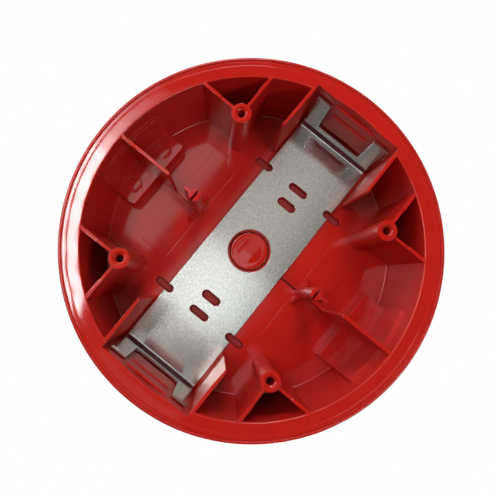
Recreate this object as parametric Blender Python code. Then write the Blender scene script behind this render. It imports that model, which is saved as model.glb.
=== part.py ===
"""Six-inch fire alarm bell: a deep red housing with a steel strap inside it, and a gong with a centrifugal striker.

Row frame: X runs along the strap, Z is up on the wall, and +Y points at the wall. The origin is the centre of the
housing's rear rim, so the bell stands out from the wall along -Y. Sizes below are in millimetres.
"""

from math import asin, cos, degrees, hypot, pi, radians, sin, sqrt

import bmesh
import bpy
from mathutils import Vector

MM = 0.001
GAP = 0.3  # between touching pieces
ROUND = 64  # sides of a large circle
GONG_SIDES = 56
MEDIUM = 28  # sides of a washer or the motor
SMALL = 12  # sides of a screw or pin
EMBED = 0.5  # how far a joined shape runs into its neighbour

# Housing: a round tub, open towards the wall
FLANGE_R = 75.0
FLANGE_THICK = 3.4
INNER_R = 66.9
FLOOR_R = 66.2
OUTER_R = 70.6
FRONT_R = 69.6
FLOOR_Y = -42.0
FRONT_Y = -45.0
RIB = 1.3

BOSS_AT = 37.0
BOSS_R = 4.0
BOSS_HOLE_R = 1.6
BOSS_HOLE_DEPTH = 16.0
PILOT_R = 1.9
PILOT_DEPTH = 10.5

POST_AT = 30.5
POST_R = 2.4
POST_SLIT = 1.0
FIN_IN = 43.3
STUB_IN = 35.7
NOTCH_Y = -36.0

PAD_HALF = 17.7
PAD_IN = 53.0
PAD_HIGH = 10.0
THICK_WALL_R = 65.2  # the thicker stretch of wall above each pad
THICK_WALL_TOP = -9.0

POCKET_HALF = 20.5
POCKET_IN = 44.0
POCKET_END = 66.1

KNOCKOUT_R = 9.0
GROOVE = 0.8
GROOVE_DEEP = 0.6

# Strap: one folded steel strip lying on the housing's floor
SHEET = 1.2
STRAP_HALF_WIDTH = 19.1
STRAP_HALF_LENGTH = 65.6
SHOULDER_HIGH = 10.0
LEG_HIGH = 35.0
LEG_OUT = 18.2
LEG_IN = 11.5
STRAP_HOLE_R = 10.1
INNER_SLOT = (28.0, 9.8, 4.1)  # distance from the centre, length, width
OUTER_SLOT = (36.8, 10.2, 3.6)
EDGE_SLOT = (36.6, 20.6, 9.8, 3.7)  # along the strap, across it, length, width

# Chassis: a steel disc on rubber bushes in front of the housing
BUSH_HIGH = 3.0
BUSH_R = 5.0
CHASSIS_R = 60.0
CHASSIS_THICK = 1.5
CHASSIS_BACK = FRONT_Y - GAP - BUSH_HIGH - GAP
CHASSIS_FRONT = CHASSIS_BACK - CHASSIS_THICK
SCREW_R = 1.6
SCREW_HOLE_R = 2.1
SMALL_SCREW_R = 1.2
SMALL_HOLE_R = 1.6
GROMMET_AT = (0.0, -23.0)
GROMMET_R = 6.0
GROMMET_SEAT_R = 4.2
GROMMET_HOLE_R = 2.8

# Gong: a pressed steel bowl on a post
GONG_R = 75.0
GONG_THICK = 2.4
GONG_EDGE_Y = -47.5
GONG_CROWN_Y = -90.0
GONG_CROWN_R = 24.0
GONG_HOLE_R = 4.2
GONG_POST_R = 6.0
SPIGOT_R = 4.0
BOLT_R = 2.8
BOLT_HOLE_R = 3.1
WASHER_R = 11.0

# Motor and striker, above the gong's centre
MOTOR_AT = 40.0
MOTOR_R = 13.5
MOTOR_LENGTH = 12.0
CAP_LENGTH = 1.9
MOUNT_EAR = 20.0
SHAFT_R = 1.2
SHAFT_HOLE_R = 1.5
PIN_AT = 12.0
PIN_R = 1.5
PIN_HOLE_R = 1.8
HAMMER_REACH = 29.4  # motor axis to hammer tip with the hammer thrown out
HAMMER_HEAD_R = 5.0
HAMMER_THICK = 5.0
ARM_THICK = 2.7

# Terminal block, below the gong's centre
BLOCK_AT = -38.0
BLOCK_SIZE = (34.0, 12.0, 11.0)  # along X, along Z, along Y
BLOCK_EAR = 21.5
TERMINAL_PITCH = 7.0

for old in list(bpy.data.objects):
    bpy.data.objects.remove(old)


# ---------------------------------------------------------------- materials

def material(name, colour, roughness, metallic=0.0):
    made = bpy.data.materials.new(name)
    made.use_nodes = True
    shader = made.node_tree.nodes["Principled BSDF"]
    shader.inputs["Base Color"].default_value = (*colour, 1.0)
    shader.inputs["Roughness"].default_value = roughness
    shader.inputs["Metallic"].default_value = metallic
    return made


RED_ABS = material("red_abs", (0.45, 0.02, 0.015), 0.25)
RED_PAINT = material("red_paint", (0.50, 0.015, 0.012), 0.2)
STEEL = material("brushed_steel", (0.55, 0.54, 0.52), 0.35, 1.0)
ZINC = material("zinc_plate", (0.62, 0.63, 0.66), 0.3, 1.0)
BRASS = material("brass", (0.75, 0.55, 0.25), 0.3, 1.0)
RUBBER = material("rubber", (0.02, 0.02, 0.022), 0.8)
BLACK_NYLON = material("black_nylon", (0.03, 0.03, 0.032), 0.5)
CREAM_NYLON = material("cream_nylon", (0.75, 0.70, 0.58), 0.45)
BOARD = material("circuit_board", (0.05, 0.22, 0.09), 0.5)
BLUE_FILM = material("capacitor_film", (0.05, 0.13, 0.42), 0.35)
RED_LEAD = material("red_lead", (0.55, 0.02, 0.02), 0.45)
BLACK_LEAD = material("black_lead", (0.02, 0.02, 0.02), 0.45)


# ------------------------------------------------------------ mesh helpers

def keep(bm, name, finish=None, origin=(0, 0, 0)):
    """Turns a bmesh in millimetres into an object with its origin at the given place."""
    bmesh.ops.recalc_face_normals(bm, faces=bm.faces)
    start = Vector(origin)
    for vertex in bm.verts:
        vertex.co = (vertex.co - start) * MM
    mesh = bpy.data.meshes.new(name)
    bm.to_mesh(mesh)
    bm.free()
    mesh.shade_smooth()
    mesh.set_sharp_from_angle(angle=radians(35))
    made = bpy.data.objects.new(name, mesh)
    bpy.context.scene.collection.objects.link(made)
    made.location = start * MM
    if finish is not None:
        mesh.materials.append(finish)
    return made


def turned_mesh(profile, segments, centre=(0.0, 0.0)):
    """A closed (radius, y) profile turned about a line parallel to Y. A radius of 0 makes a pole."""
    bm = bmesh.new()
    rings = []
    for radius, y in profile:
        count = 1 if radius == 0 else segments
        turns = [2 * pi * k / segments for k in range(count)]
        rings.append([
            bm.verts.new((centre[0] + radius * cos(t), y, centre[1] + radius * sin(t))) for t in turns
        ])
    on_axis = profile[0][0] == 0 and profile[-1][0] == 0
    pairs = list(zip(rings, rings[1:] + ([] if on_axis else rings[:1])))
    for first, second in pairs:
        for k in range(segments):
            corners = [first[k % len(first)], first[(k + 1) % len(first)]]
            corners += [second[(k + 1) % len(second)], second[k % len(second)]]
            distinct = list(dict.fromkeys(corners))
            if len(distinct) > 2:
                bm.faces.new(distinct)
    return bm


def turned(name, profile, finish=None, segments=ROUND, centre=(0.0, 0.0)):
    return keep(turned_mesh(profile, segments, centre), name, finish, (centre[0], 0, centre[1]))


def disc(name, radius, back, front, finish=None, segments=SMALL, centre=(0.0, 0.0)):
    """A plain cylinder along Y, from its back face to its front face."""
    profile = [(0, back), (radius, back), (radius, front), (0, front)]
    return turned(name, profile, finish, segments, centre)


def ring(name, outer, inner, back, front, finish=None, segments=SMALL, centre=(0.0, 0.0)):
    profile = [(outer, back), (outer, front), (inner, front), (inner, back)]
    return turned(name, profile, finish, segments, centre)


def prism_mesh(outline, low, high, place):
    """An outline of 2-D points extruded between two levels. place turns (a, b, level) into (x, y, z)."""
    bm = bmesh.new()
    floor = [bm.verts.new(place(a, b, low)) for a, b in outline]
    roof = [bm.verts.new(place(a, b, high)) for a, b in outline]
    bm.faces.new(floor)
    bm.faces.new(list(reversed(roof)))
    for k in range(len(outline)):
        after = (k + 1) % len(outline)
        bm.faces.new((floor[k], roof[k], roof[after], floor[after]))
    return bm


def prism(name, outline, back, front, finish=None, origin=(0, 0, 0)):
    """An (x, z) outline extruded along Y."""
    return keep(prism_mesh(outline, back, front, lambda a, b, y: (a, y, b)), name, finish, origin)


def block(name, x, y, z, finish=None):
    outline = [(x[0], z[0]), (x[1], z[0]), (x[1], z[1]), (x[0], z[1])]
    return prism(name, outline, y[0], y[1], finish)


def arc(centre, radius, start, end, steps):
    """Points on an arc, from one angle to another in degrees."""
    turns = [radians(start + (end - start) * k / steps) for k in range(steps + 1)]
    return [(centre[0] + radius * cos(t), centre[1] + radius * sin(t)) for t in turns]


def slot_outline(x, z, length, width):
    """A round-ended slot that runs along Z."""
    radius, reach = width / 2, (length - width) / 2
    return arc((x, z + reach), radius, 0, 180, 8) + arc((x, z - reach), radius, 180, 360, 8)


def helper(made):
    made.hide_render = True
    made.display_type = "WIRE"
    return made


def combine(target, operation, tools):
    """Adds one Boolean for a group of helper objects."""
    group = bpy.data.collections.new(f"{target.name}_{operation.lower()}_{len(target.modifiers)}")
    bpy.context.scene.collection.children.link(group)
    for tool in tools:
        helper(tool)
        bpy.context.scene.collection.objects.unlink(tool)
        group.objects.link(tool)
    step = target.modifiers.new(operation.title(), "BOOLEAN")
    step.operation = operation
    step.solver = "EXACT"
    step.operand_type = "COLLECTION"
    step.collection = group
    return target


# ------------------------------------------------------------------ housing

SIDES = (-1, 1)
CORNERS = [(sx, sz) for sx in SIDES for sz in SIDES]


def housing_shell():
    """The tub: flange, tapered wall and floor, turned as one profile."""
    return turned("housing", [
        (FLANGE_R - 0.5, 0),
        (FLANGE_R, -0.6),
        (FLANGE_R, -FLANGE_THICK),
        (OUTER_R, -FLANGE_THICK - 0.8),
        (FRONT_R, FRONT_Y + 3),
        (FRONT_R - 3, FRONT_Y),
        (0, FRONT_Y),
        (0, FLOOR_Y),
        (FLOOR_R - 1, FLOOR_Y),
        (FLOOR_R, FLOOR_Y + 1),
        (INNER_R, 0),
    ], RED_ABS)


def wall_reach(offset):
    """How far a rib at this offset from the centre line runs to end inside the round wall."""
    middle = (INNER_R + OUTER_R) / 2
    return sqrt(middle**2 - offset**2)


def boss_parts(sx, sz):
    """One screw boss and the two ribs that tie it to the wall."""
    x, z = sx * BOSS_AT, sz * BOSS_AT
    reach = wall_reach(BOSS_AT) - 1.5
    label = f"{'p' if sx > 0 else 'n'}{'p' if sz > 0 else 'n'}"
    low, top = FLOOR_Y - EMBED, -0.4
    return [
        disc(f"boss_{label}", BOSS_R, low, -0.2, centre=(x, z)),
        block(f"rib_x_{label}", sorted((x, sx * reach)), (low, top), (z - RIB / 2, z + RIB / 2)),
        block(f"rib_z_{label}", (x - RIB / 2, x + RIB / 2), (low, top), sorted((z, sz * reach))),
    ]


def boss_cuts(sx, sz):
    """The rear screw hole with its countersink, and the front pilot hole for a chassis screw."""
    at = (sx * BOSS_AT, sz * BOSS_AT)
    label = f"{sx}{sz}"
    rear = turned(f"boss_hole_{label}", [
        (0, 1),
        (BOSS_HOLE_R + 1.9, 1),
        (BOSS_HOLE_R, -0.9),
        (BOSS_HOLE_R, -BOSS_HOLE_DEPTH),
        (0, -BOSS_HOLE_DEPTH),
    ], segments=16, centre=at)
    pilot = disc(f"boss_pilot_{label}", PILOT_R, FRONT_Y + PILOT_DEPTH, FRONT_Y - 1, segments=16, centre=at)
    return [rear, pilot]


def post_parts(side):
    """A split snap post, its gussets, and the stepped fin from the wall."""
    z = side * POST_AT
    low = FLOOR_Y - EMBED
    reach = side * (INNER_R + 1.5)
    post = disc(f"post_{side}", POST_R, low, -1.2, segments=16, centre=(0, z))
    fin = block(f"fin_{side}", (-RIB / 2, RIB / 2), (low, -0.4), sorted((side * FIN_IN, reach)))
    step = block(f"fin_step_{side}", (-RIB / 2, RIB / 2), (low, NOTCH_Y), sorted((z, side * (FIN_IN + 1))))
    stub = block(f"stub_{side}", (-RIB / 2, RIB / 2), (low, -1.6), sorted((z, side * STUB_IN)))
    gusset = prism_mesh(
        [(-7.5, low), (7.5, low), (7.5, FLOOR_Y), (1.0, FLOOR_Y + 9), (-1.0, FLOOR_Y + 9), (-7.5, FLOOR_Y)],
        z - RIB / 2, z + RIB / 2, lambda a, b, level: (a, b, level),
    )
    return [post, fin, step, stub, keep(gusset, f"gusset_{side}")]


def pad_parts(side):
    """The raised block behind a conduit entry, and the thicker stretch of wall above it."""
    in_wall = INNER_R + 1.0
    reach = degrees(asin(PAD_HALF / in_wall))
    back = arc((0, 0), in_wall, side * (90 - reach), side * (90 + reach), 10)
    pad = [(-PAD_HALF, side * PAD_IN), (PAD_HALF, side * PAD_IN)] + back
    reach = degrees(asin(PAD_HALF / THICK_WALL_R))
    face = arc((0, 0), THICK_WALL_R, side * (90 + reach), side * (90 - reach), 10)
    low = FLOOR_Y - EMBED
    return [
        prism(f"pad_{side}", pad, low, FLOOR_Y + PAD_HIGH),
        prism(f"thick_wall_{side}", back + face, low, THICK_WALL_TOP),
    ]


def pocket_parts(side):
    """The two plates that hold one end of the strap, and the raised panel between the strap's legs."""
    parts = []
    for z_side in SIDES:
        inner = z_side * POCKET_HALF
        z = sorted((inner, inner + z_side * RIB))
        reach = side * (wall_reach(POCKET_HALF + RIB) - 0.5)
        x = sorted((side * POCKET_IN, reach))
        parts.append(block(f"pocket_{side}_{z_side}", x, (FLOOR_Y - EMBED, -0.4), z))
    panel = sorted((side * (POCKET_END - 1.6), side * (POCKET_END + 0.5)))
    parts.append(block(f"panel_{side}", panel, (FLOOR_Y + 12, -8.0), (-9.0, 9.0)))
    return parts


def floor_grooves():
    """Outlines of the knock-outs: the round one in the middle and the slots beside the strap."""
    top = FLOOR_Y + 1
    bottom = FLOOR_Y - GROOVE_DEEP
    cuts = [ring("centre_groove", KNOCKOUT_R, KNOCKOUT_R - GROOVE, top, bottom, segments=MEDIUM)]
    for sx, sz in CORNERS:
        along, across, length, width = EDGE_SLOT
        outline = slot_outline(sx * along, sz * across, length, width)
        cuts.append(prism(f"slot_groove_{sx}{sz}", outline, bottom, top))
    for sx in SIDES:
        for n, (along, length, width) in enumerate((INNER_SLOT, OUTER_SLOT)):
            outline = slot_outline(sx * along, 0, length, width)
            cuts.append(prism(f"middle_groove_{sx}_{n}", outline, bottom, top))
    return cuts


def build_housing():
    shell = housing_shell()
    notches = [
        block(f"notch_{s}", sorted((s * 50, s * POCKET_END)), (FLOOR_Y, 1), (-POCKET_HALF, POCKET_HALF))
        for s in SIDES
    ]
    combine(shell, "DIFFERENCE", notches)
    additions = []
    for sx, sz in CORNERS:
        additions += boss_parts(sx, sz)
    for side in SIDES:
        additions += post_parts(side) + pad_parts(side) + pocket_parts(side)
    combine(shell, "UNION", additions)
    cuts = floor_grooves()
    for sx, sz in CORNERS:
        cuts += boss_cuts(sx, sz)
    for side in SIDES:
        z = side * POST_AT
        cuts.append(block(f"slit_{side}", (-4, 4), (-16, 1), (z - POST_SLIT / 2, z + POST_SLIT / 2)))
    return combine(shell, "DIFFERENCE", cuts)


# -------------------------------------------------------------------- strap

def build_strap():
    """The strip is a folded section extruded across its width, then cut to its legs, hole and slots."""
    back = FLOOR_Y + GAP
    face = back + SHEET
    end, bend = STRAP_HALF_LENGTH, 2.4
    inner = bend - SHEET
    tip = FLOOR_Y + LEG_HIGH
    right = arc((end - bend, back + bend), bend, -90, 0, 5) + [(end, tip), (end - SHEET, tip)]
    right += arc((end - bend, back + bend), inner, 0, -90, 5)
    left = [(-x, y) for x, y in reversed(right)]
    half = STRAP_HALF_WIDTH
    mesh = prism_mesh(right + left, -half, half, lambda a, b, level: (a, b, level))
    strap = keep(mesh, "mounting_strap", STEEL)
    y_through = (back - 1, face + 1)
    shoulder = FLOOR_Y + SHOULDER_HIGH
    cuts = [disc("strap_hole", STRAP_HOLE_R, face + 1, back - 1, segments=MEDIUM)]
    for sx in SIDES:
        x = sorted((sx * (end - 4), sx * (end + 1)))
        cuts.append(block(f"leg_gap_{sx}", x, (shoulder, tip + 1), (-LEG_IN, LEG_IN)))
        for sz in SIDES:
            z = sorted((sz * LEG_OUT, sz * (half + 1)))
            cuts.append(block(f"leg_side_{sx}{sz}", x, (shoulder - 2, tip + 1), z))
            along, across, length, width = EDGE_SLOT
            cuts.append(prism(f"edge_slot_{sx}{sz}", slot_outline(sx * along, sz * across, length, width), *y_through))
        for n, (along, length, width) in enumerate((INNER_SLOT, OUTER_SLOT)):
            cuts.append(prism(f"slot_{sx}_{n}", slot_outline(sx * along, 0, length, width), *y_through))
    return combine(strap, "DIFFERENCE", cuts)


# ------------------------------------------------------------------ chassis

def pan_screw(name, at, seat, length, radius, head_r, finish=ZINC):
    """A screw along Y: its head stands in front of the seat, and its shank runs back into the work."""
    head = 0.55 * head_r
    made = turned(name, [
        (0, seat + length),
        (radius * 0.7, seat + length),
        (radius, seat + length - radius),
        (radius, seat - GAP),
        (head_r, seat - GAP),
        (head_r, seat - GAP - head * 0.45),
        (head_r * 0.72, seat - GAP - head),
        (0, seat - GAP - head),
    ], finish, SMALL, at)
    front = seat - GAP - head
    x, z = at
    slot = block(f"{name}_slot", (x - head_r * 2, x + head_r * 2), (front - 1, front + head * 0.45),
                 (z - 0.35, z + 0.35))
    return combine(made, "DIFFERENCE", [slot])


def build_chassis():
    """The disc with its holes: four for the bushes' screws, the post, the motor mount, the block and the cable."""
    plate = turned("chassis_plate", [
        (0, CHASSIS_BACK),
        (CHASSIS_R, CHASSIS_BACK),
        (CHASSIS_R, CHASSIS_FRONT),
        (0, CHASSIS_FRONT),
    ], ZINC)
    holes = [disc("post_seat", SPIGOT_R + GAP, CHASSIS_BACK + 1, CHASSIS_FRONT - 1, segments=SMALL)]
    through = [((sx * BOSS_AT, sz * BOSS_AT), SCREW_HOLE_R) for sx, sz in CORNERS]
    through += [((s * MOUNT_EAR, MOTOR_AT), SMALL_HOLE_R) for s in SIDES]
    through += [((s * BLOCK_EAR, BLOCK_AT), SMALL_HOLE_R) for s in SIDES]
    through += [(GROMMET_AT, GROMMET_SEAT_R + GAP)]
    for n, (at, radius) in enumerate(through):
        holes.append(disc(f"chassis_hole_{n}", radius, CHASSIS_BACK + 1, CHASSIS_FRONT - 1, centre=at))
    combine(plate, "DIFFERENCE", holes)
    for n, (sx, sz) in enumerate(CORNERS, start=1):
        at = (sx * BOSS_AT, sz * BOSS_AT)
        bush_back = FRONT_Y - GAP
        ring(f"chassis_bush_{n}", BUSH_R, SCREW_HOLE_R, bush_back, bush_back - BUSH_HIGH, RUBBER, centre=at)
        length = CHASSIS_THICK + BUSH_HIGH + 2 * GAP + PILOT_DEPTH - 1.5
        pan_screw(f"chassis_screw_{n}", at, CHASSIS_FRONT, length, SCREW_R, 3.4)


def build_grommet():
    """A grooved rubber ring that lines the cable hole in the chassis."""
    lip = 1.0
    front, back = CHASSIS_FRONT - GAP, CHASSIS_BACK + GAP
    turned("cable_grommet", [
        (GROMMET_HOLE_R, back + lip),
        (GROMMET_R, back + lip),
        (GROMMET_R, back),
        (GROMMET_SEAT_R, back),
        (GROMMET_SEAT_R, front),
        (GROMMET_R, front),
        (GROMMET_R, front - lip),
        (GROMMET_HOLE_R, front - lip),
    ], RUBBER, SMALL, GROMMET_AT)


# --------------------------------------------------------------------- gong

def gong_outer_profile():
    """(radius, y) points from the open edge over the shoulder to the flat crown."""
    shoulder = 15.0
    side_r = GONG_R - 2.2
    centre = (side_r - shoulder, GONG_CROWN_Y + shoulder + 3.2)
    skirt = [(GONG_R, GONG_EDGE_Y), (GONG_R - 0.7, GONG_EDGE_Y - 12)]
    bend = arc(centre, shoulder, 0, -78, 6)
    crown = [(GONG_CROWN_R + 3, GONG_CROWN_Y + 0.5), (GONG_CROWN_R, GONG_CROWN_Y)]
    return skirt + bend + crown


def offset_inwards(points, distance):
    """The same line moved towards the inside of the bowl."""
    moved = []
    for k, (r, y) in enumerate(points):
        before, after = points[max(k - 1, 0)], points[min(k + 1, len(points) - 1)]
        dr, dy = after[0] - before[0], after[1] - before[1]
        size = hypot(dr, dy)
        moved.append((r + dy / size * distance, y - dr / size * distance))
    return moved


def build_gong():
    outer = gong_outer_profile()
    inner = offset_inwards(outer, GONG_THICK)
    back = GONG_CROWN_Y + GONG_THICK
    inner = [(inner[0][0], GONG_EDGE_Y)] + inner[1:-1] + [(GONG_CROWN_R - 0.5, back)]
    profile = outer + [(GONG_HOLE_R, GONG_CROWN_Y), (GONG_HOLE_R, back)] + list(reversed(inner))
    turned("gong", profile, RED_PAINT, GONG_SIDES)


def build_gong_fixing():
    """The post on the chassis, then from the post outwards: rubber washer, gong, rubber washer, steel washer, bolt."""
    washer = 1.6
    under_gong = GONG_CROWN_Y + GONG_THICK + GAP
    post_top = under_gong + washer + GAP
    base = CHASSIS_FRONT - GAP
    turned("gong_post", [
        (0, CHASSIS_BACK - GAP),
        (SPIGOT_R, CHASSIS_BACK - GAP),
        (SPIGOT_R, base),
        (9.0, base),
        (9.0, base - 2.0),
        (GONG_POST_R, base - 3.0),
        (GONG_POST_R, post_top),
        (BOLT_HOLE_R, post_top),
        (BOLT_HOLE_R, post_top + 17),
        (0, post_top + 17),
    ], ZINC, MEDIUM)
    ring("gong_washer_inner", WASHER_R - 2, GONG_HOLE_R - 1, under_gong + washer, under_gong, RUBBER, MEDIUM)
    over = GONG_CROWN_Y - GAP
    ring("gong_washer_outer", WASHER_R, GONG_HOLE_R - 1, over, over - washer, RUBBER, MEDIUM)
    steel = over - washer - GAP
    ring("gong_washer_steel", WASHER_R - 0.8, GONG_HOLE_R - 1, steel, steel - 1.2, ZINC, MEDIUM)
    seat = steel - 1.2
    pan_screw("gong_bolt", (0.0, 0.0), seat, 18.0, BOLT_R, 6.5)


# -------------------------------------------------------------------- motor

MOUNT_BACK = CHASSIS_FRONT - GAP
CAP_BACK = MOUNT_BACK - 0.4
CAN_BACK = CAP_BACK - CAP_LENGTH - GAP
CAN_FRONT = CAN_BACK - MOTOR_LENGTH
NOSE_FRONT = CAN_FRONT - 1.2
ROTOR_BACK = NOSE_FRONT - 0.7
ROTOR_FRONT = ROTOR_BACK - ARM_THICK
HAMMER_BACK = ROTOR_FRONT - 0.4
HAMMER_FRONT = HAMMER_BACK - HAMMER_THICK
MOTOR_AXIS = (0.0, MOTOR_AT)
PIN_AXIS = (0.0, MOTOR_AT - PIN_AT)


def build_motor():
    """The moulded mount with its two screws, the drawn can, the end cap and its two tabs."""
    wall_in, wall_out = MOTOR_R + GAP, MOTOR_R + 2.4
    mount_front = MOUNT_BACK - 8.0
    mount = ring("motor_mount", wall_out, wall_in, MOUNT_BACK, mount_front, BLACK_NYLON, MEDIUM, MOTOR_AXIS)
    ears = []
    for side in SIDES:
        x, z = side * MOUNT_EAR, MOTOR_AT
        ears.append(disc(f"ear_round_{side}", 3.6, MOUNT_BACK, MOUNT_BACK - 3, centre=(x, z)))
        ears.append(block(f"ear_web_{side}", sorted((side * (wall_in + 0.5), x)), (MOUNT_BACK, MOUNT_BACK - 3),
                          (z - 3.4, z + 3.4)))
    combine(mount, "UNION", ears)
    cuts = [
        disc(f"ear_hole_{side}", SMALL_HOLE_R, MOUNT_BACK + 1, MOUNT_BACK - 4, centre=(side * MOUNT_EAR, MOTOR_AT))
        for side in SIDES
    ]
    gate = (MOTOR_AT - wall_out - 1, MOTOR_AT - 8)
    cuts.append(block("lead_gate", (-9.0, 9.0), (MOUNT_BACK + 1, MOUNT_BACK - 4.2), gate))
    combine(mount, "DIFFERENCE", cuts)
    for n, side in enumerate(SIDES, start=1):
        at = (side * MOUNT_EAR, MOTOR_AT)
        pan_screw(f"motor_screw_{n}", at, MOUNT_BACK - 3, 5.0, SMALL_SCREW_R, 2.4)
    turned("motor_can", [
        (0, CAN_BACK),
        (MOTOR_R, CAN_BACK),
        (MOTOR_R, CAN_FRONT + 0.8),
        (MOTOR_R - 0.8, CAN_FRONT),
        (4.0, CAN_FRONT),
        (4.0, NOSE_FRONT),
        (SHAFT_HOLE_R, NOSE_FRONT),
        (SHAFT_HOLE_R, CAN_FRONT + 8),
        (0, CAN_FRONT + 8),
    ], ZINC, MEDIUM, MOTOR_AXIS)
    disc("motor_end_cap", MOTOR_R - 2, CAP_BACK, CAP_BACK - CAP_LENGTH, BLACK_NYLON, MEDIUM, MOTOR_AXIS)
    for n, side in enumerate(SIDES, start=1):
        x = side * TAB_X
        low = MOTOR_AT - MOTOR_R - 4.5
        block(f"motor_tab_{n}", (x - 1.1, x + 1.1), (CAP_BACK - CAP_LENGTH + 0.3, CAP_BACK - 0.9), (low, TAB_TOP), BRASS)


TAB_X = 5.0
TAB_TOP = MOTOR_AT - sqrt((MOTOR_R - 2) ** 2 - (TAB_X - 1.1) ** 2) - GAP


# ------------------------------------------------------------------ striker

def build_rotor():
    """The shaft, the arm with its counterweight, and the pin that the hammer hangs from."""
    disc("motor_shaft", SHAFT_R, CAN_FRONT + 7.5, HAMMER_BACK, ZINC, 16, MOTOR_AXIS)
    hub_z, pin_z = MOTOR_AT, MOTOR_AT - PIN_AT
    pin_r, weight_r = 3.6, 8.6
    outline = arc((0, pin_z), pin_r, 180, 360, 8)
    outline += arc((0, hub_z), weight_r, -18, 198, 16)
    rotor = prism("striker_rotor", outline, ROTOR_BACK, ROTOR_FRONT, ZINC, (0, 0, hub_z))
    cuts = [
        disc("rotor_bore", SHAFT_HOLE_R, ROTOR_BACK + 1, ROTOR_FRONT - 1, segments=16, centre=MOTOR_AXIS),
        disc("pin_bore", PIN_HOLE_R, ROTOR_BACK + 1, ROTOR_FRONT - 1, segments=16, centre=PIN_AXIS),
    ]
    combine(rotor, "DIFFERENCE", cuts)
    groove_back = HAMMER_FRONT - 0.3
    turned("hammer_pin", [
        (0, ROTOR_BACK - 0.1),
        (PIN_R, ROTOR_BACK - 0.1),
        (PIN_R, groove_back),
        (PIN_R - 0.5, groove_back),
        (PIN_R - 0.5, groove_back - 1.2),
        (PIN_R, groove_back - 1.2),
        (PIN_R, groove_back - 2.0),
        (0, groove_back - 2.0),
    ], STEEL, 16, PIN_AXIS)
    clip_back = groove_back - 0.2
    ring("hammer_clip", 3.0, PIN_R - 0.2, clip_back, clip_back - 0.7, STEEL, 16, PIN_AXIS)


def build_hammer():
    """The hammer hangs from its pin: an eye, a waist and a round steel head."""
    pin_z = MOTOR_AT - PIN_AT
    head_z = MOTOR_AT - HAMMER_REACH + HAMMER_HEAD_R
    eye_r, waist = 3.9, 2.6
    outline = arc((0, pin_z), eye_r, -40, 220, 12)
    outline += [(-waist, pin_z - 5.0), (-waist, head_z + 5.0)]
    outline += arc((0, head_z), HAMMER_HEAD_R, 130, 410, 20)
    outline += [(waist, head_z + 5.0), (waist, pin_z - 5.0)]
    hammer = prism("hammer", outline, HAMMER_BACK, HAMMER_FRONT, STEEL, (0, 0, pin_z))
    bore = disc("hammer_bore", PIN_HOLE_R, HAMMER_BACK + 1, HAMMER_FRONT - 1, segments=16, centre=PIN_AXIS)
    combine(hammer, "DIFFERENCE", [bore])


# ----------------------------------------------------------- terminal block

def terminal_x(n):
    return (n - 1.5) * TERMINAL_PITCH


def build_terminals():
    """A four-way screw block on two ears, its clamp screws, and the suppressor board beside it."""
    length, width, high = BLOCK_SIZE
    back = CHASSIS_FRONT - GAP
    front = back - high
    low, top = BLOCK_AT - width / 2, BLOCK_AT + width / 2
    body = block("terminal_block", (-length / 2, length / 2), (back, front), (low, top), CREAM_NYLON)
    ears = [
        disc(f"block_ear_{side}", 3.4, back, back - 3, centre=(side * BLOCK_EAR, BLOCK_AT)) for side in SIDES
    ]
    ears += [
        block(f"block_web_{side}", sorted((side * (length / 2 - 1), side * BLOCK_EAR)), (back, back - 3),
              (BLOCK_AT - 3.2, BLOCK_AT + 3.2))
        for side in SIDES
    ]
    combine(body, "UNION", ears)
    cuts = [
        disc(f"block_hole_{side}", SMALL_HOLE_R, back + 1, back - 4, centre=(side * BLOCK_EAR, BLOCK_AT))
        for side in SIDES
    ]
    for n in range(4):
        x = terminal_x(n)
        cuts.append(disc(f"terminal_well_{n}", 2.6, front + 6.5, front - 1, centre=(x, BLOCK_AT)))
        cuts.append(block(f"wire_door_{n}", (x - 1.8, x + 1.8), (front + 7.5, front + 3.2), (low - 1, low + 4)))
        cuts.append(block(f"lead_door_{n}", (x - 1.8, x + 1.8), (front + 7.5, front + 3.2), (top - 4, top + 1)))
    combine(body, "DIFFERENCE", cuts)
    for n in range(4):
        at = (terminal_x(n), BLOCK_AT)
        pan_screw(f"terminal_screw_{n + 1}", at, front + 3.6, 2.4, SMALL_SCREW_R, 2.2, BRASS)
    for n, side in enumerate(SIDES, start=1):
        pan_screw(f"block_screw_{n}", (side * BLOCK_EAR, BLOCK_AT), back - 3, 5.0, SMALL_SCREW_R, 2.4)


BOARD_X = (-31.0, -15.0)
BOARD_Z = (-12.0, 10.0)
STANDOFF = 2.2
BOARD_THICK = 1.6


def build_suppressor():
    """A small board on two spacers with a film capacitor across the motor's supply."""
    back = CHASSIS_FRONT - GAP
    board_back = back - STANDOFF - GAP
    board_front = board_back - BOARD_THICK
    block("suppressor_board", BOARD_X, (board_back, board_front), BOARD_Z, BOARD)
    middle = sum(BOARD_X) / 2
    for n, z in enumerate((BOARD_Z[0] + 3, BOARD_Z[1] - 3), start=1):
        disc(f"board_spacer_{n}", 2.4, back, back - STANDOFF, BLACK_NYLON, centre=(middle, z))
    low = board_front - GAP
    block("suppressor_capacitor", (middle - 5.5, middle + 5.5), (low, low - 8.0), (-6.0, 3.0), BLUE_FILM)


# -------------------------------------------------------------------- leads

def smooth_route(points, steps):
    """A Catmull-Rom curve through the route's points."""
    ends = [points[0]] + points + [points[-1]]
    route = []
    for a, b, c, d in zip(ends, ends[1:], ends[2:], ends[3:]):
        a, b, c, d = Vector(a), Vector(b), Vector(c), Vector(d)
        for k in range(steps):
            t = k / steps
            route.append(0.5 * (2 * b + (c - a) * t + (2 * a - 5 * b + 4 * c - d) * t**2
                                + (3 * b - a - 3 * c + d) * t**3))
    route.append(Vector(points[-1]))
    return route


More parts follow.
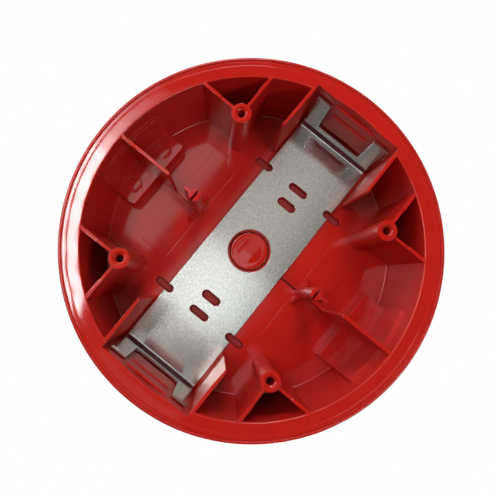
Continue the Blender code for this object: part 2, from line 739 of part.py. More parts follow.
def build_lead(name, points, finish):
    """A thin insulated wire, as a round curve along its route."""
    curve = bpy.data.curves.new(name, "CURVE")
    curve.dimensions = "3D"
    curve.bevel_depth = LEAD_R * MM
    curve.bevel_resolution = 2
    curve.use_fill_caps = True
    route = smooth_route(points, 4)
    spline = curve.splines.new("POLY")
    spline.points.add(len(route) - 1)
    for point, place in zip(spline.points, route):
        point.co = (*(place * MM), 1.0)
    made = bpy.data.objects.new(name, curve)
    bpy.context.scene.collection.objects.link(made)
    curve.materials.append(finish)


LEAD_R = 0.8


def build_leads():
    """Each lead runs from a motor tab, down beside the post, into one way of the terminal block."""
    door_y = CHASSIS_FRONT - GAP - BLOCK_SIZE[2] + 5.3
    top = BLOCK_AT + BLOCK_SIZE[1] / 2
    tab_y = CAP_BACK - CAP_LENGTH / 2
    tab_z = MOTOR_AT - MOTOR_R - 4.5
    for name, side, finish in (("lead_positive", 1, RED_LEAD), ("lead_negative", -1, BLACK_LEAD)):
        x_door = side * 0.5 * TERMINAL_PITCH
        build_lead(name, [
            (side * TAB_X, tab_y, tab_z - GAP),
            (side * (TAB_X + 0.6), tab_y, tab_z - 4),
            (side * 10.2, tab_y, 13),
            (side * 11.6, tab_y, 4),
            (side * 11.6, tab_y, -6),
            (side * 10.0, tab_y - 0.5, -18),
            (side * 7.4, tab_y - 2.0, -25),
            (x_door, door_y, top + 3.5),
            (x_door, door_y, top - 2.5),
        ], finish)


build_housing()
build_strap()
build_chassis()
build_grommet()
build_gong()
build_gong_fixing()
build_motor()
build_rotor()
build_hammer()
build_terminals()
build_suppressor()
build_leads()
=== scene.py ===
"""Looks for the six-inch fire alarm bell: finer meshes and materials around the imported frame.

Lengths are in millimetres until a mesh is stored. X runs along the strap, Z is up on the wall and +Y points
at the wall, so the open rear faces +Y and the gong faces -Y.
"""

from math import asin, cos, degrees, hypot, pi, radians, sin, sqrt

import bmesh
import bpy
from mathutils import Matrix, Vector


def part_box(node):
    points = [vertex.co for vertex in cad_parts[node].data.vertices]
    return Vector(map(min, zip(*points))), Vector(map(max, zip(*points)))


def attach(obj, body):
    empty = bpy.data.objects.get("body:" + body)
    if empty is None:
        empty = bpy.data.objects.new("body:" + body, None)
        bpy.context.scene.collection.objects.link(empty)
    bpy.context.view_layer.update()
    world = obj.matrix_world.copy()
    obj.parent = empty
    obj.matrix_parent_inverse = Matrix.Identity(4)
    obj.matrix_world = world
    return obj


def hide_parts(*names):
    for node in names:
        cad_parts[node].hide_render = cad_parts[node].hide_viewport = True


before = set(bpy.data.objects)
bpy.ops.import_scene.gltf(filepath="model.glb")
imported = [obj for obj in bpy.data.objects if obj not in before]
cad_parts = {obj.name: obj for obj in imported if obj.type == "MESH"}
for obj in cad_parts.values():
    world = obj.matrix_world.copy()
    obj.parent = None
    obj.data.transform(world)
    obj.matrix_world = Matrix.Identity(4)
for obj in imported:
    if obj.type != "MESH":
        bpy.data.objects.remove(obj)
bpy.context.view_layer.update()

MM = 0.001
ROUND = 192  # sides of a large circle
MEDIUM = 64
SMALL = 36
SIDES = (-1, 1)
CORNERS = [(sx, sz) for sx in SIDES for sz in SIDES]


def edges_of(node):
    """Lowest and highest corner of a CAD node in millimetres."""
    low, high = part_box(node)
    return low / MM, high / MM


def round_edges(node):
    """Lowest and highest corner of a CAD node that is round about Y, and its radius."""
    low, high = edges_of(node)
    return low, high, (high.x - low.x) / 2


HOUSING_LOW, HOUSING_HIGH = edges_of("housing")
STRAP_HIGH = edges_of("mounting_strap")[1]
GONG_LOW, GONG_HIGH = edges_of("gong")

# ---- dimensions
FLANGE_R = HOUSING_HIGH.x
FRONT_Y = HOUSING_LOW.y
FLOOR_THICK = 3.0
FLOOR_Y = FRONT_Y + FLOOR_THICK
INNER_R, FLOOR_R = 66.9, 66.2
OUTER_R, FRONT_R = 70.6, 69.6
RIB = 1.3
EMBED = 0.5  # how far a joined shape runs into its neighbour
PLATE_TOP = -0.35  # top of the pocket plates and fins
BOSS_AT, BOSS_R, BOSS_HOLE_R = 37.0, 4.0, 1.6
POST_AT, POST_R, POST_SLIT = 30.5, 2.4, 1.0
FIN_IN, STUB_IN, NOTCH_Y = 43.3, 35.7, -36.0
PAD_HALF, PAD_IN, PAD_HIGH = 17.7, 53.0, 10.0
THICK_WALL_R, THICK_WALL_TOP = 65.2, -9.0
POCKET_HALF, POCKET_IN, POCKET_END = 20.5, 44.0, 66.1
KNOCKOUT_R = 9.4
SLOT_DEEP, SLOT_LOW = 2.4, 1.5  # depths of the groove round a slot's knock-out and of the knock-out itself
SHEET = 1.2
SHOULDER_HIGH = 10.0
LEG_OUT, LEG_IN = 18.2, 11.5
STRAP_HOLE_R = 10.1
INNER_SLOT = (28.0, 9.8, 4.1)  # distance from the centre, length, width
OUTER_SLOT = (36.8, 10.2, 3.6)
EDGE_SLOT = (36.6, 20.6, 9.8, 3.7)  # along the strap, across it, length, width
CHASSIS_FRONT = edges_of("chassis_plate")[0].y
MOTOR_AT = 40.0
MOTOR_EAR_X, BLOCK_EAR_X = 20.0, 21.5
PIN_Z, PIN_BORE_R = MOTOR_AT - 12.0, 1.8
BLOCK_AT = -38.0
WAY_X = [(n - 1.5) * 7.0 for n in range(4)]  # the terminal block's four ways
WASHER_HOLE_R = 3.2
GROMMET_AT = (0.0, -23.0)
MOTOR_AXIS = (0.0, MOTOR_AT)


# ---- mesh helpers

def add(name, data):
    """Puts a new object with this data into the scene."""
    made = bpy.data.objects.new(name, data)
    bpy.context.scene.collection.objects.link(made)
    return made


def keep(bm, name):
    """Turns a bmesh in millimetres into an object in metres."""
    bmesh.ops.recalc_face_normals(bm, faces=bm.faces)
    for vertex in bm.verts:
        vertex.co *= MM
    mesh = bpy.data.meshes.new(name)
    bm.to_mesh(mesh)
    bm.free()
    return add(name, mesh)


def arc(centre, radius, start, end, steps):
    """Points on an arc, from one angle to another in degrees."""
    turns = [radians(start + (end - start) * k / steps) for k in range(steps + 1)]
    return [(centre[0] + radius * cos(t), centre[1] + radius * sin(t)) for t in turns]


def turned(name, profile, segments=ROUND, centre=(0.0, 0.0)):
    """A closed (radius, y) profile turned about a line parallel to Y. A radius of 0 makes a pole."""
    bm = bmesh.new()
    rings = []
    for radius, y in profile:
        count = 1 if radius == 0 else segments
        turns = [2 * pi * k / segments for k in range(count)]
        rings.append([
            bm.verts.new((centre[0] + radius * cos(t), y, centre[1] + radius * sin(t))) for t in turns
        ])
    on_axis = profile[0][0] == 0 and profile[-1][0] == 0
    for first, second in zip(rings, rings[1:] + ([] if on_axis else rings[:1])):
        for k in range(segments):
            corners = [first[k % len(first)], first[(k + 1) % len(first)]]
            corners += [second[(k + 1) % len(second)], second[k % len(second)]]
            distinct = list(dict.fromkeys(corners))
            if len(distinct) > 2:
                bm.faces.new(distinct)
    return keep(bm, name)


def disc(name, radius, back, front, segments=SMALL, centre=(0.0, 0.0)):
    return turned(name, [(0, back), (radius, back), (radius, front), (0, front)], segments, centre)


def prism(name, outline, low, high, place=None):
    """An outline of 2-D points extruded between two levels. place turns (a, b, level) into (x, y, z)."""
    place = place or (lambda a, b, level: (a, level, b))
    bm = bmesh.new()
    floor = [bm.verts.new(place(a, b, low)) for a, b in outline]
    roof = [bm.verts.new(place(a, b, high)) for a, b in outline]
    bm.faces.new(floor)
    bm.faces.new(list(reversed(roof)))
    for k in range(len(outline)):
        after = (k + 1) % len(outline)
        bm.faces.new((floor[k], roof[k], roof[after], floor[after]))
    return keep(bm, name)


def along_z(a, b, level):
    """Places a prism's outline in the XY plane, so that it runs along Z."""
    return (a, b, level)


def block(name, x, y, z):
    outline = [(x[0], z[0]), (x[1], z[0]), (x[1], z[1]), (x[0], z[1])]
    return prism(name, outline, y[0], y[1])


def slot_outline(x, z, length, width):
    """A round-ended slot that runs along Z."""
    radius, reach = width / 2, (length - width) / 2
    return arc((x, z + reach), radius, 0, 180, 12) + arc((x, z - reach), radius, 180, 360, 12)


def combine(target, operation, tools):
    """One applied Boolean between the target and a group of tools, which are then removed."""
    group = bpy.data.collections.new(f"{target.name}_tools")
    bpy.context.scene.collection.children.link(group)
    for tool in tools:
        bpy.context.scene.collection.objects.unlink(tool)
        group.objects.link(tool)
    step = target.modifiers.new("combine", "BOOLEAN")
    step.operation = operation
    step.solver = "EXACT"
    step.operand_type = "COLLECTION"
    step.collection = group
    seen = bpy.context.evaluated_depsgraph_get()
    seen.update()
    mesh = bpy.data.meshes.new_from_object(target.evaluated_get(seen))
    target.modifiers.clear()
    target.data = mesh
    for tool in tools:
        bpy.data.objects.remove(tool)
    bpy.data.collections.remove(group)
    return target


def join(target, tools):
    return combine(target, "UNION", tools)


def cut(target, tools):
    return combine(target, "DIFFERENCE", tools)


def soften(made, width, angle=32, segments=2):
    """Small rounded edges, and shading that keeps the flats flat."""
    made.data.shade_smooth()
    bevel = made.modifiers.new("edges", "BEVEL")
    bevel.width = width * MM
    bevel.segments = segments
    bevel.limit_method = "ANGLE"
    bevel.angle_limit = radians(angle)
    bevel.use_clamp_overlap = True
    weighted = made.modifiers.new("flats", "WEIGHTED_NORMAL")
    weighted.keep_sharp = True
    weighted.weight = 100
    return made


def smooth(made, angle=35):
    made.data.shade_smooth()
    made.data.set_sharp_from_angle(angle=radians(angle))
    return made


def smooth_cut(made, angle=35):
    """Shading for a shape with many cuts: large faces stay flat, and its material rounds the edges."""
    smooth(made, angle)
    weighted = made.modifiers.new("flats", "WEIGHTED_NORMAL")
    weighted.keep_sharp = True
    return made


def fit_out(made, finish, *nodes, body="bell"):
    """Gives a piece its material, its body and the CAD nodes it stands for."""
    made.data.materials.clear()
    made.data.materials.append(finish)
    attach(made, body)
    if nodes:
        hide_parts(*nodes)
    return made


# ---- materials

class Nodes:
    """Short calls for building a material's node tree around its Principled shader."""

    def __init__(self, name, colour, roughness, metallic=0.0):
        self.material = bpy.data.materials.new(name)
        self.material.use_nodes = True
        self.tree = self.material.node_tree
        self.shader = self.tree.nodes["Principled BSDF"]
        self.set("Base Color", (*colour, 1.0))
        self.set("Roughness", roughness)
        self.set("Metallic", metallic)

    def set(self, name, value):
        self.shader.inputs[name].default_value = value

    def node(self, kind, **values):
        made = self.tree.nodes.new(kind)
        for key, value in values.items():
            if hasattr(made, key):
                setattr(made, key, value)
            else:
                made.inputs[key.replace("_", " ")].default_value = value
        return made

    def link(self, source, target):
        self.tree.links.new(source, target)

    def place(self, scale=(1.0, 1.0, 1.0)):
        """Object coordinates in metres, stretched by a scale."""
        coordinates = self.node("ShaderNodeTexCoord")
        mapping = self.node("ShaderNodeMapping", Scale=scale)
        self.link(coordinates.outputs["Object"], mapping.inputs["Vector"])
        return mapping.outputs["Vector"]

    def noise(self, size_mm, detail=2.0, rough=0.5, stretch=(1.0, 1.0, 1.0)):
        """Noise whose features are about size_mm across."""
        per_metre = 1.0 / (size_mm * MM)
        texture = self.node("ShaderNodeTexNoise", Scale=per_metre, Detail=detail, Roughness=rough)
        self.link(self.place(stretch), texture.inputs["Vector"])
        return texture.outputs["Fac"]

    def ramp(self, value, low, high, start=0.0, end=1.0):
        """Maps a value between start and end to low and high."""
        made = self.node("ShaderNodeMapRange", From_Min=start, From_Max=end, To_Min=low, To_Max=high)
        self.link(value, made.inputs["Value"])
        return made.outputs["Result"]

    def colours(self, value, first, second, start=0.3, end=0.7):
        """Blends from the first colour to the second as the value goes from start to end."""
        made = self.node("ShaderNodeValToRGB")
        for element, position, colour in zip(made.color_ramp.elements, (start, end), (first, second)):
            element.position = position
            element.color = (*colour, 1.0)
        self.link(value, made.inputs["Fac"])
        return made.outputs["Color"]

    def combined(self, operation, *values):
        """A sum, product or other piece of arithmetic on one or two values."""
        made = self.node("ShaderNodeMath", operation=operation)
        for socket, value in zip(made.inputs, values):
            self.link(value, socket)
        return made.outputs["Value"]

    def darker(self, colour, amount, tint):
        """The colour multiplied by a tint where the amount is 1."""
        made = self.node("ShaderNodeMixRGB", blend_type="MULTIPLY", Color2=(*tint, 1.0))
        self.link(colour, made.inputs["Color1"])
        self.link(amount, made.inputs["Fac"])
        return made.outputs["Color"]

    def bump(self, height, strength, depth_mm, normal=None):
        made = self.node("ShaderNodeBump", Strength=strength, Distance=depth_mm * MM)
        self.link(height, made.inputs["Height"])
        if normal is not None:
            self.link(normal, made.inputs["Normal"])
        return made.outputs["Normal"]

    def rounded(self, radius_mm):
        """A normal that rounds off every edge by this radius."""
        return self.node("ShaderNodeBevel", samples=6, Radius=radius_mm * MM).outputs["Normal"]

    def wire(self, output, name):
        self.link(output, self.shader.inputs[name])


def red_abs():
    """Glossy moulded plastic: flow marks, ripple, fine scratches, scuffed walls, and dull knock-outs whose
    sunken faces carry painted shade.
    """
    n = Nodes("red_abs", (0.55, 0.015, 0.009), 0.12)
    facing = n.node("ShaderNodeSeparateXYZ")
    n.link(n.node("ShaderNodeTexCoord").outputs["Normal"], facing.inputs["Vector"])
    level = n.node("ShaderNodeSeparateXYZ")
    n.link(n.place(), level.inputs["Vector"])
    # Painted shade: faces sunk more than about a millimetre below the floor and looking out of the rear get a
    # darker colour. They are also made rougher.
    deep = n.ramp(level.outputs["Y"], 1.0, 0.0, (FLOOR_Y - 1.2) * MM, (FLOOR_Y - 0.9) * MM)
    sunken_shade_and_dull = n.combined("MULTIPLY", deep, n.ramp(facing.outputs["Y"], 0.0, 1.0, 0.3, 0.6))
    flow = n.colours(n.noise(22, 3, 0.55), (0.52, 0.013, 0.008), (0.58, 0.017, 0.010))
    # Painted shade in the recesses: the colour of the sunken faces is multiplied by a darker, bluish tint.
    n.wire(n.darker(flow, sunken_shade_and_dull, (0.62, 0.62, 0.80)), "Base Color")
    # Faces that look sideways, such as walls, are scuffed. Those that look along Y stay glossy.
    scuff = n.ramp(n.combined("ABSOLUTE", facing.outputs["Y"]), 0.30, 0.0, 0.15, 0.6)
    dull = n.combined("ADD", scuff, n.ramp(sunken_shade_and_dull, 0.0, 0.5))
    n.wire(n.combined("ADD", dull, n.ramp(n.noise(9, 4, 0.6), 0.05, 0.11, 0.3, 0.75)), "Roughness")
    ripple = n.bump(n.noise(14, 1, 0.4), 0.12, 0.05, n.rounded(0.22))
    scratches = n.noise(0.9, 3, 0.7, (1.0, 1.0, 0.12))
    n.wire(n.bump(scratches, 0.08, 0.006, ripple), "Normal")
    n.set("IOR", 1.50)
    n.set("Specular IOR Level", 0.5)
    return n.material


def strap_steel():
    """Strip steel brushed along its length: highlights spread across it, over a fine sparkling grain."""
    n = Nodes("strap_steel", (0.62, 0.61, 0.58), 0.20, 1.0)
    grain = n.noise(0.7, 3, 0.75, (0.6, 1.0, 1.0))
    n.wire(n.colours(grain, (0.54, 0.53, 0.505), (0.74, 0.73, 0.70), 0.32, 0.68), "Base Color")
    n.wire(n.ramp(n.noise(9, 2, 0.5), 0.15, 0.17, 0.3, 0.7), "Roughness")
    n.wire(n.bump(grain, 1.0, 0.014, n.rounded(0.2)), "Normal")
    n.set("Anisotropic", 0.6)
    across = n.node(
        "ShaderNodeVectorTransform",
        vector_type="VECTOR", convert_from="OBJECT", convert_to="WORLD", Vector=(0.0, 0.0, 1.0),
    )
    n.wire(across.outputs["Vector"], "Tangent")
    return n.material


def painted_red():
    """Stoved gloss enamel with a faint orange peel and a little dust."""
    n = Nodes("red_gloss_paint", (0.44, 0.012, 0.008), 0.12)
    n.wire(n.colours(n.noise(30, 3, 0.5), (0.41, 0.010, 0.007), (0.47, 0.014, 0.009)), "Base Color")
    n.wire(n.ramp(n.noise(5, 4, 0.6), 0.07, 0.17, 0.3, 0.75), "Roughness")
    n.wire(n.bump(n.noise(1.6, 2, 0.5), 0.16, 0.02), "Normal")
    n.set("Coat Weight", 0.5)
    n.set("Coat Roughness", 0.06)
    return n.material


def plated(name, light, dark, roughness, grain_mm):
    """Plated or drawn steel: cloudy tone, fine grain and small dull spots."""
    n = Nodes(name, light, roughness, 1.0)
    cloud = n.noise(7, 4, 0.6)
    grain = n.noise(grain_mm, 3, 0.65)
    n.wire(n.colours(cloud, dark, light, 0.35, 0.7), "Base Color")
    n.wire(n.ramp(grain, roughness - 0.10, roughness + 0.14, 0.3, 0.7), "Roughness")
    n.wire(n.bump(grain, 0.15, 0.012), "Normal")
    return n.material


def moulded(name, colour, variation, roughness, texture_mm=0.5):
    """Moulded plastic or rubber with a fine spark-eroded texture."""
    n = Nodes(name, colour, roughness)
    worn = tuple(min(1.0, c * variation + 0.004) for c in colour)
    n.wire(n.colours(n.noise(6, 4, 0.6), colour, worn), "Base Color")
    blotches = n.noise(texture_mm * 4, 3, 0.6)
    n.wire(n.ramp(blotches, roughness - 0.08, roughness + 0.10, 0.3, 0.7), "Roughness")
    n.wire(n.bump(n.noise(texture_mm, 2, 0.6), 0.25, 0.03), "Normal")
    return n.material


def laminate():
    """Green solder mask over a faint glass weave."""
    n = Nodes("circuit_board", (0.02, 0.16, 0.05), 0.35)
    wave = n.node("ShaderNodeTexWave", Scale=900.0, Distortion=0.4)
    n.link(n.place(), wave.inputs["Vector"])
    n.wire(n.colours(wave.outputs["Fac"], (0.018, 0.14, 0.045), (0.026, 0.18, 0.06), 0.0, 1.0), "Base Color")
    n.wire(n.ramp(n.noise(2.0, 3, 0.6), 0.25, 0.45, 0.3, 0.7), "Roughness")
    n.wire(n.bump(wave.outputs["Fac"], 0.2, 0.02), "Normal")
    return n.material


RED_ABS = red_abs()
STRAP_STEEL = strap_steel()
RED_PAINT = painted_red()
ZINC = plated("zinc_plate", (0.66, 0.67, 0.69), (0.52, 0.54, 0.58), 0.30, 0.25)
MOTOR_STEEL = plated("motor_can_steel", (0.60, 0.60, 0.61), (0.48, 0.48, 0.50), 0.24, 0.4)
TURNED_STEEL = plated("turned_steel", (0.58, 0.57, 0.55), (0.42, 0.41, 0.40), 0.28, 0.18)
BRASS = plated("brass", (0.80, 0.58, 0.24), (0.62, 0.42, 0.16), 0.28, 0.2)
RUBBER = moulded("black_rubber", (0.016, 0.016, 0.017), 1.8, 0.72, 0.4)
BLACK_NYLON = moulded("black_nylon", (0.024, 0.024, 0.026), 1.6, 0.42, 0.35)
CREAM_NYLON = moulded("cream_nylon", (0.72, 0.66, 0.52), 0.90, 0.42, 0.4)
CAPACITOR = moulded("capacitor_case", (0.62, 0.42, 0.06), 0.85, 0.34, 0.5)
BOARD = laminate()
RED_LEAD = moulded("red_insulation", (0.50, 0.015, 0.012), 0.85, 0.40, 0.6)
BLACK_LEAD = moulded("black_insulation", (0.018, 0.018, 0.019), 1.6, 0.38, 0.6)


# ---- housing

def housing_shell():
    """The tub: a beaded flange, a tapered wall, a rounded front edge and a filleted floor."""
    flat = -0.25  # the flange's face sits just below its outer bead
    profile = arc((FLANGE_R - 0.75, -0.75), 0.75, 0, 90, 5)
    for inwards, y in (
        (1.15, -0.06), (1.30, flat - 0.30), (1.50, flat - 0.30), (1.65, flat),  # the groove inside the bead
        (3.2, flat), (3.28, flat - 0.05), (3.36, flat),  # a crease
    ):
        profile.append((FLANGE_R - inwards, y))
    profile += arc((INNER_R + 0.5, flat - 0.5), 0.5, 90, 180, 4)
    profile += [(FLOOR_R, FLOOR_Y + 1.2)]
    profile += arc((FLOOR_R - 0.9, FLOOR_Y + 0.9), 0.9, 0, -90, 5)
    profile += [(0, FLOOR_Y), (0, FRONT_Y)]
    profile += arc((FRONT_R - 3.0, FRONT_Y + 3.0), 3.0, -90, 0, 8)
    profile += [(OUTER_R, -5.0)]
    profile += [(OUTER_R + 0.25, -4.2), (OUTER_R + 1.0, -3.6)]
    profile += arc((FLANGE_R - 0.6, -2.8), 0.6, -90, 0, 4)
    return turned("housing_shell", profile)


def wall_reach(offset):
    """How far a rib at this offset from the centre line runs to end inside the round wall."""
    middle = (INNER_R + OUTER_R) / 2
    return sqrt(middle**2 - offset**2)


def tapered_rod(name, top_r, base_r, base, top, centre, segments=MEDIUM):
    profile = [(0, base), (base_r, base), (top_r, top), (0, top)]
    return turned(name, profile, segments, centre)


def boss_parts(sx, sz):
    """One screw boss and the two stepped ribs that tie it to the wall."""
    x, z = sx * BOSS_AT, sz * BOSS_AT
    reach = wall_reach(BOSS_AT) - 1.5
    step = 11.0  # the outer part of each rib stands a little higher and thicker
    low = FLOOR_Y - EMBED
    parts = [tapered_rod("boss", BOSS_R, BOSS_R + 0.25, low, -0.2, (x, z))]
    for along_x in (True, False):
        start, side = (x, sx) if along_x else (z, sz)
        for inner, outer, top, half in (
            (start, start + side * step, -0.9, 0.55),
            (start + side * (step - 0.4), side * reach, PLATE_TOP, 0.68),
        ):
            run = sorted((inner, outer))
            if along_x:
                parts.append(block("rib", run, (low, top), (z - half, z + half)))
            else:
                parts.append(block("rib", (x - half, x + half), (low, top), run))
    return parts


def boss_hole(sx, sz):
    """The rear screw hole with its wide, shallow countersink."""
    return turned("boss_hole", [
        (0, 1),
        (BOSS_HOLE_R + 0.9, 1),
        (BOSS_HOLE_R + 0.9, -0.35),
        (BOSS_HOLE_R + 0.75, -0.6),
        (BOSS_HOLE_R, -1.0),
        (BOSS_HOLE_R - 0.1, -16),
        (0, -16),
    ], SMALL, (sx * BOSS_AT, sz * BOSS_AT))


def pilot_hole(sx, sz):
    """The chassis screw's hole in the front of a boss."""
    return disc("pilot_hole", 1.9, FRONT_Y + 10.5, FRONT_Y - 1, SMALL, (sx * BOSS_AT, sz * BOSS_AT))


def post_parts(side):
    """A split snap post, its gussets, and the stepped fin from the wall."""
    z = side * POST_AT
    low = FLOOR_Y - EMBED
    reach = side * (INNER_R + 1.5)
    half = RIB / 2
    parts = [
        tapered_rod("post", POST_R, POST_R + 0.15, low, -1.2, (0, z), SMALL),
        block("fin", (-half, half), (low, PLATE_TOP), sorted((side * FIN_IN, reach))),
        block("fin_step", (-half, half), (low, NOTCH_Y), sorted((z, side * (FIN_IN + 1)))),
        block("stub", (-half, half), (low, -1.6), sorted((z, side * STUB_IN))),
    ]
    foot, tip = 7.5, 1.0
    right = [(foot, low), (foot, FLOOR_Y), (tip, FLOOR_Y + 9)]
    web = [(-foot, low)] + right + [(-tip, FLOOR_Y + 9), (-foot, FLOOR_Y)]
    parts.append(prism("gusset", web, z - half, z + half, along_z))
    return parts


def pad_parts(side):
    """The raised block behind a conduit entry, slightly drafted, and the thicker stretch of wall above it."""
    in_wall = INNER_R + 1.0
    low, top = FLOOR_Y - EMBED, FLOOR_Y + PAD_HIGH
    reach = degrees(asin(PAD_HALF / in_wall))
    back = arc((0, 0), in_wall, side * (90 - reach), side * (90 + reach), 24)
    reach = degrees(asin(PAD_HALF / THICK_WALL_R))
    face = arc((0, 0), THICK_WALL_R, side * (90 + reach), side * (90 - reach), 24)
    bm = bmesh.new()
    rings = []
    for half, edge, y in ((PAD_HALF + 0.5, PAD_IN, low), (PAD_HALF - 0.4, PAD_IN + 0.3, top)):
        corner = 1.2
        inner = [(-half, side * (edge + corner)), (-half + 0.35, side * (edge + 0.35))]
        inner += [(-half + corner, side * edge)]
        outline = inner + [(-x, z) for x, z in reversed(inner)]
        outline += [(x * half / PAD_HALF, z) for x, z in back]
        rings.append([bm.verts.new((x, y, z)) for x, z in outline])
    bm.faces.new(rings[0])
    bm.faces.new(list(reversed(rings[1])))
    for k in range(len(rings[0])):
        after = (k + 1) % len(rings[0])
        bm.faces.new((rings[0][k], rings[1][k], rings[1][after], rings[0][after]))
    return [keep(bm, "pad"), prism("thick_wall", back + face, low, THICK_WALL_TOP)]


def pocket_parts(side):
    """The two plates that hold one end of the strap, and the stepped panel between the strap's legs."""
    parts = []
    low = FLOOR_Y - EMBED
    for z_side in SIDES:
        inner = z_side * POCKET_HALF
        reach = side * (wall_reach(POCKET_HALF + RIB) - 0.5)
        across = sorted((inner, inner + z_side * RIB))
        parts.append(block("pocket", sorted((side * POCKET_IN, reach)), (low, PLATE_TOP), across))
    back = side * (POCKET_END + EMBED)
    for depth, y0, y1, half in ((0.4, FLOOR_Y + 12.5, -5.5, 10.0), (0.9, FLOOR_Y + 18, -14.0, 9.3)):
        parts.append(block("panel", sorted((side * (POCKET_END - depth), back)), (y0, y1), (-half, half)))
    return parts


def lead_in(side, z_side):
    """A cutter for the slanted lead-in at the free end of a pocket plate, which guides the strap in."""
    inner = z_side * (POCKET_HALF - 0.1)
    corners = [
        (side * (POCKET_IN + 9.0), 1.0, inner),
        (side * (POCKET_IN - 1.0), -22.0, inner),
        (side * (POCKET_IN - 1.0), 1.0, inner),
        (side * (POCKET_IN - 1.0), 1.0, inner + z_side * 0.55),
    ]
    bm = bmesh.new()
    points = [bm.verts.new(corner) for corner in corners]
    for a, b, c in ((0, 1, 2), (0, 1, 3), (1, 2, 3), (0, 2, 3)):
        bm.faces.new((points[a], points[b], points[c]))
    return keep(bm, "lead_in")


def slots():
    """The slots over the knock-outs, each as its place, length and width."""
    along, across, length, width = EDGE_SLOT
    found = [(sx * along, sz * across, length, width) for sx, sz in CORNERS]
    for sx in SIDES:
        found += [(sx * along, 0, length, width) for along, length, width in (INNER_SLOT, OUTER_SLOT)]
    return found


def slot_level(name, inset, low, high):
    """One prism for each slot, smaller by the inset all round."""
    return [
        prism(name, slot_outline(x, z, length - 2 * inset, width - 2 * inset), low, high)
        for x, z, length, width in slots()
    ]


def floor_marks():
    """The grooves round the knock-outs, and the round marks of the mould's ejector pins."""
    cuts = slot_level("slot_groove", 0.12, FLOOR_Y - SLOT_DEEP, FLOOR_Y + 1)
    pad_top = FLOOR_Y + PAD_HIGH
    for side in SIDES:
        for x in (-10.2, 9.8):
            cuts.append(turned("pin_mark", [
                (0, pad_top + 1), (3.7, pad_top + 1), (3.7, pad_top - 0.45), (0, pad_top - 0.05),
            ], MEDIUM, (x, side * 58.9)))
    return cuts


def knockout():
    """A cutter for the middle of the floor: a groove round a disc whose centre is slightly domed."""
    top = FLOOR_Y + 1
    disc_r = KNOCKOUT_R - 0.7
    dome = [(0, FLOOR_Y + 0.42), (2.4, FLOOR_Y + 0.40), (3.6, FLOOR_Y + 0.30), (4.4, FLOOR_Y + 0.12)]
    dome += [(5.2, FLOOR_Y - 0.02), (6.2, FLOOR_Y - 0.06), (disc_r - 0.5, FLOOR_Y - 0.06)]
    dome += [(disc_r - 0.1, FLOOR_Y - 0.25), (disc_r, FLOOR_Y - 0.6), (disc_r, FLOOR_Y - 2.2)]
    groove = [(KNOCKOUT_R, FLOOR_Y - 2.2), (KNOCKOUT_R, top)]
    return turned("knockout", [(0, top)] + list(reversed(groove)) + list(reversed(dome)), ROUND // 2)


def insert_outlines():
    """Shallow steps on the floor, left by the inserts in the mould."""
    return [
        block("insert", (-26.8, 27.0), (FLOOR_Y - EMBED, FLOOR_Y + 0.12), sorted((side * 28.5, side * 43.0)))
        for side in SIDES
    ]


def build_housing():
    shell = housing_shell()
    across = (-POCKET_HALF, POCKET_HALF)
    cut(shell, [block("notch", sorted((s * 50, s * POCKET_END)), (FLOOR_Y, 1), across) for s in SIDES])
    additions = insert_outlines()
    for sx, sz in CORNERS:
        additions += boss_parts(sx, sz)
    for side in SIDES:
        additions += post_parts(side) + pad_parts(side) + pocket_parts(side)
    join(shell, additions)
    cuts = floor_marks() + [knockout()]
    cuts += [make(sx, sz) for make in (boss_hole, pilot_hole, lead_in) for sx, sz in CORNERS]
    for side in SIDES:
        z = side * POST_AT
        cuts.append(block("slit", (-4, 4), (-16, 1), (z - POST_SLIT / 2, z + POST_SLIT / 2)))
    cut(shell, cuts)
    join(shell, slot_level("slot_island", 0.62, FLOOR_Y - SLOT_DEEP - 0.2, FLOOR_Y - SLOT_LOW))
    shell.name = "housing_moulding"
    smooth_cut(shell)
    return fit_out(shell, RED_ABS, "housing")


# ---- strap

def build_strap():
    """The folded steel strip: bent up at both ends into fork legs, with its hole, slots and edge notches."""
    back = FLOOR_Y + 0.3
    face = back + SHEET
    end = STRAP_HIGH.x
    tip = STRAP_HIGH.y
    bend = 2.6
    right = arc((end - bend, back + bend), bend, -90, 0, 10) + [(end, tip), (end - SHEET, tip)]
    right += arc((end - bend, back + bend), bend - SHEET, 0, -90, 10)
    left = [(-x, y) for x, y in reversed(right)]
    half = STRAP_HIGH.z
    strap = prism("strap", right + left, -half, half, along_z)
    shoulder = FLOOR_Y + SHOULDER_HIGH
    cuts = [disc("strap_hole", STRAP_HOLE_R, face + 1, back - 1, MEDIUM * 2)]
    for sx in SIDES:
        x = sorted((sx * (end - 4), sx * (end + 1)))
        cuts.append(block("leg_gap", x, (shoulder, tip + 1), (-LEG_IN, LEG_IN)))
        for sz in SIDES:
            beside = sorted((sz * LEG_OUT, sz * (half + 1)))
            cuts.append(block("leg_side", x, (shoulder - 2, tip + 1), beside))
            along, across, length, width = EDGE_SLOT
            outline = slot_outline(sx * along, sz * across, length, width)
            cuts.append(prism("edge_slot", outline, back - 1, face + 1))
        for along, length, width in (INNER_SLOT, OUTER_SLOT):
            cuts.append(prism("slot", slot_outline(sx * along, 0, length, width), back - 1, face + 1))
    cut(strap, cuts)
    strap.name = "strap_steel"
    smooth_cut(strap)
    return fit_out(strap, STRAP_STEEL, "mounting_strap")


# ---- chassis, gong and striker

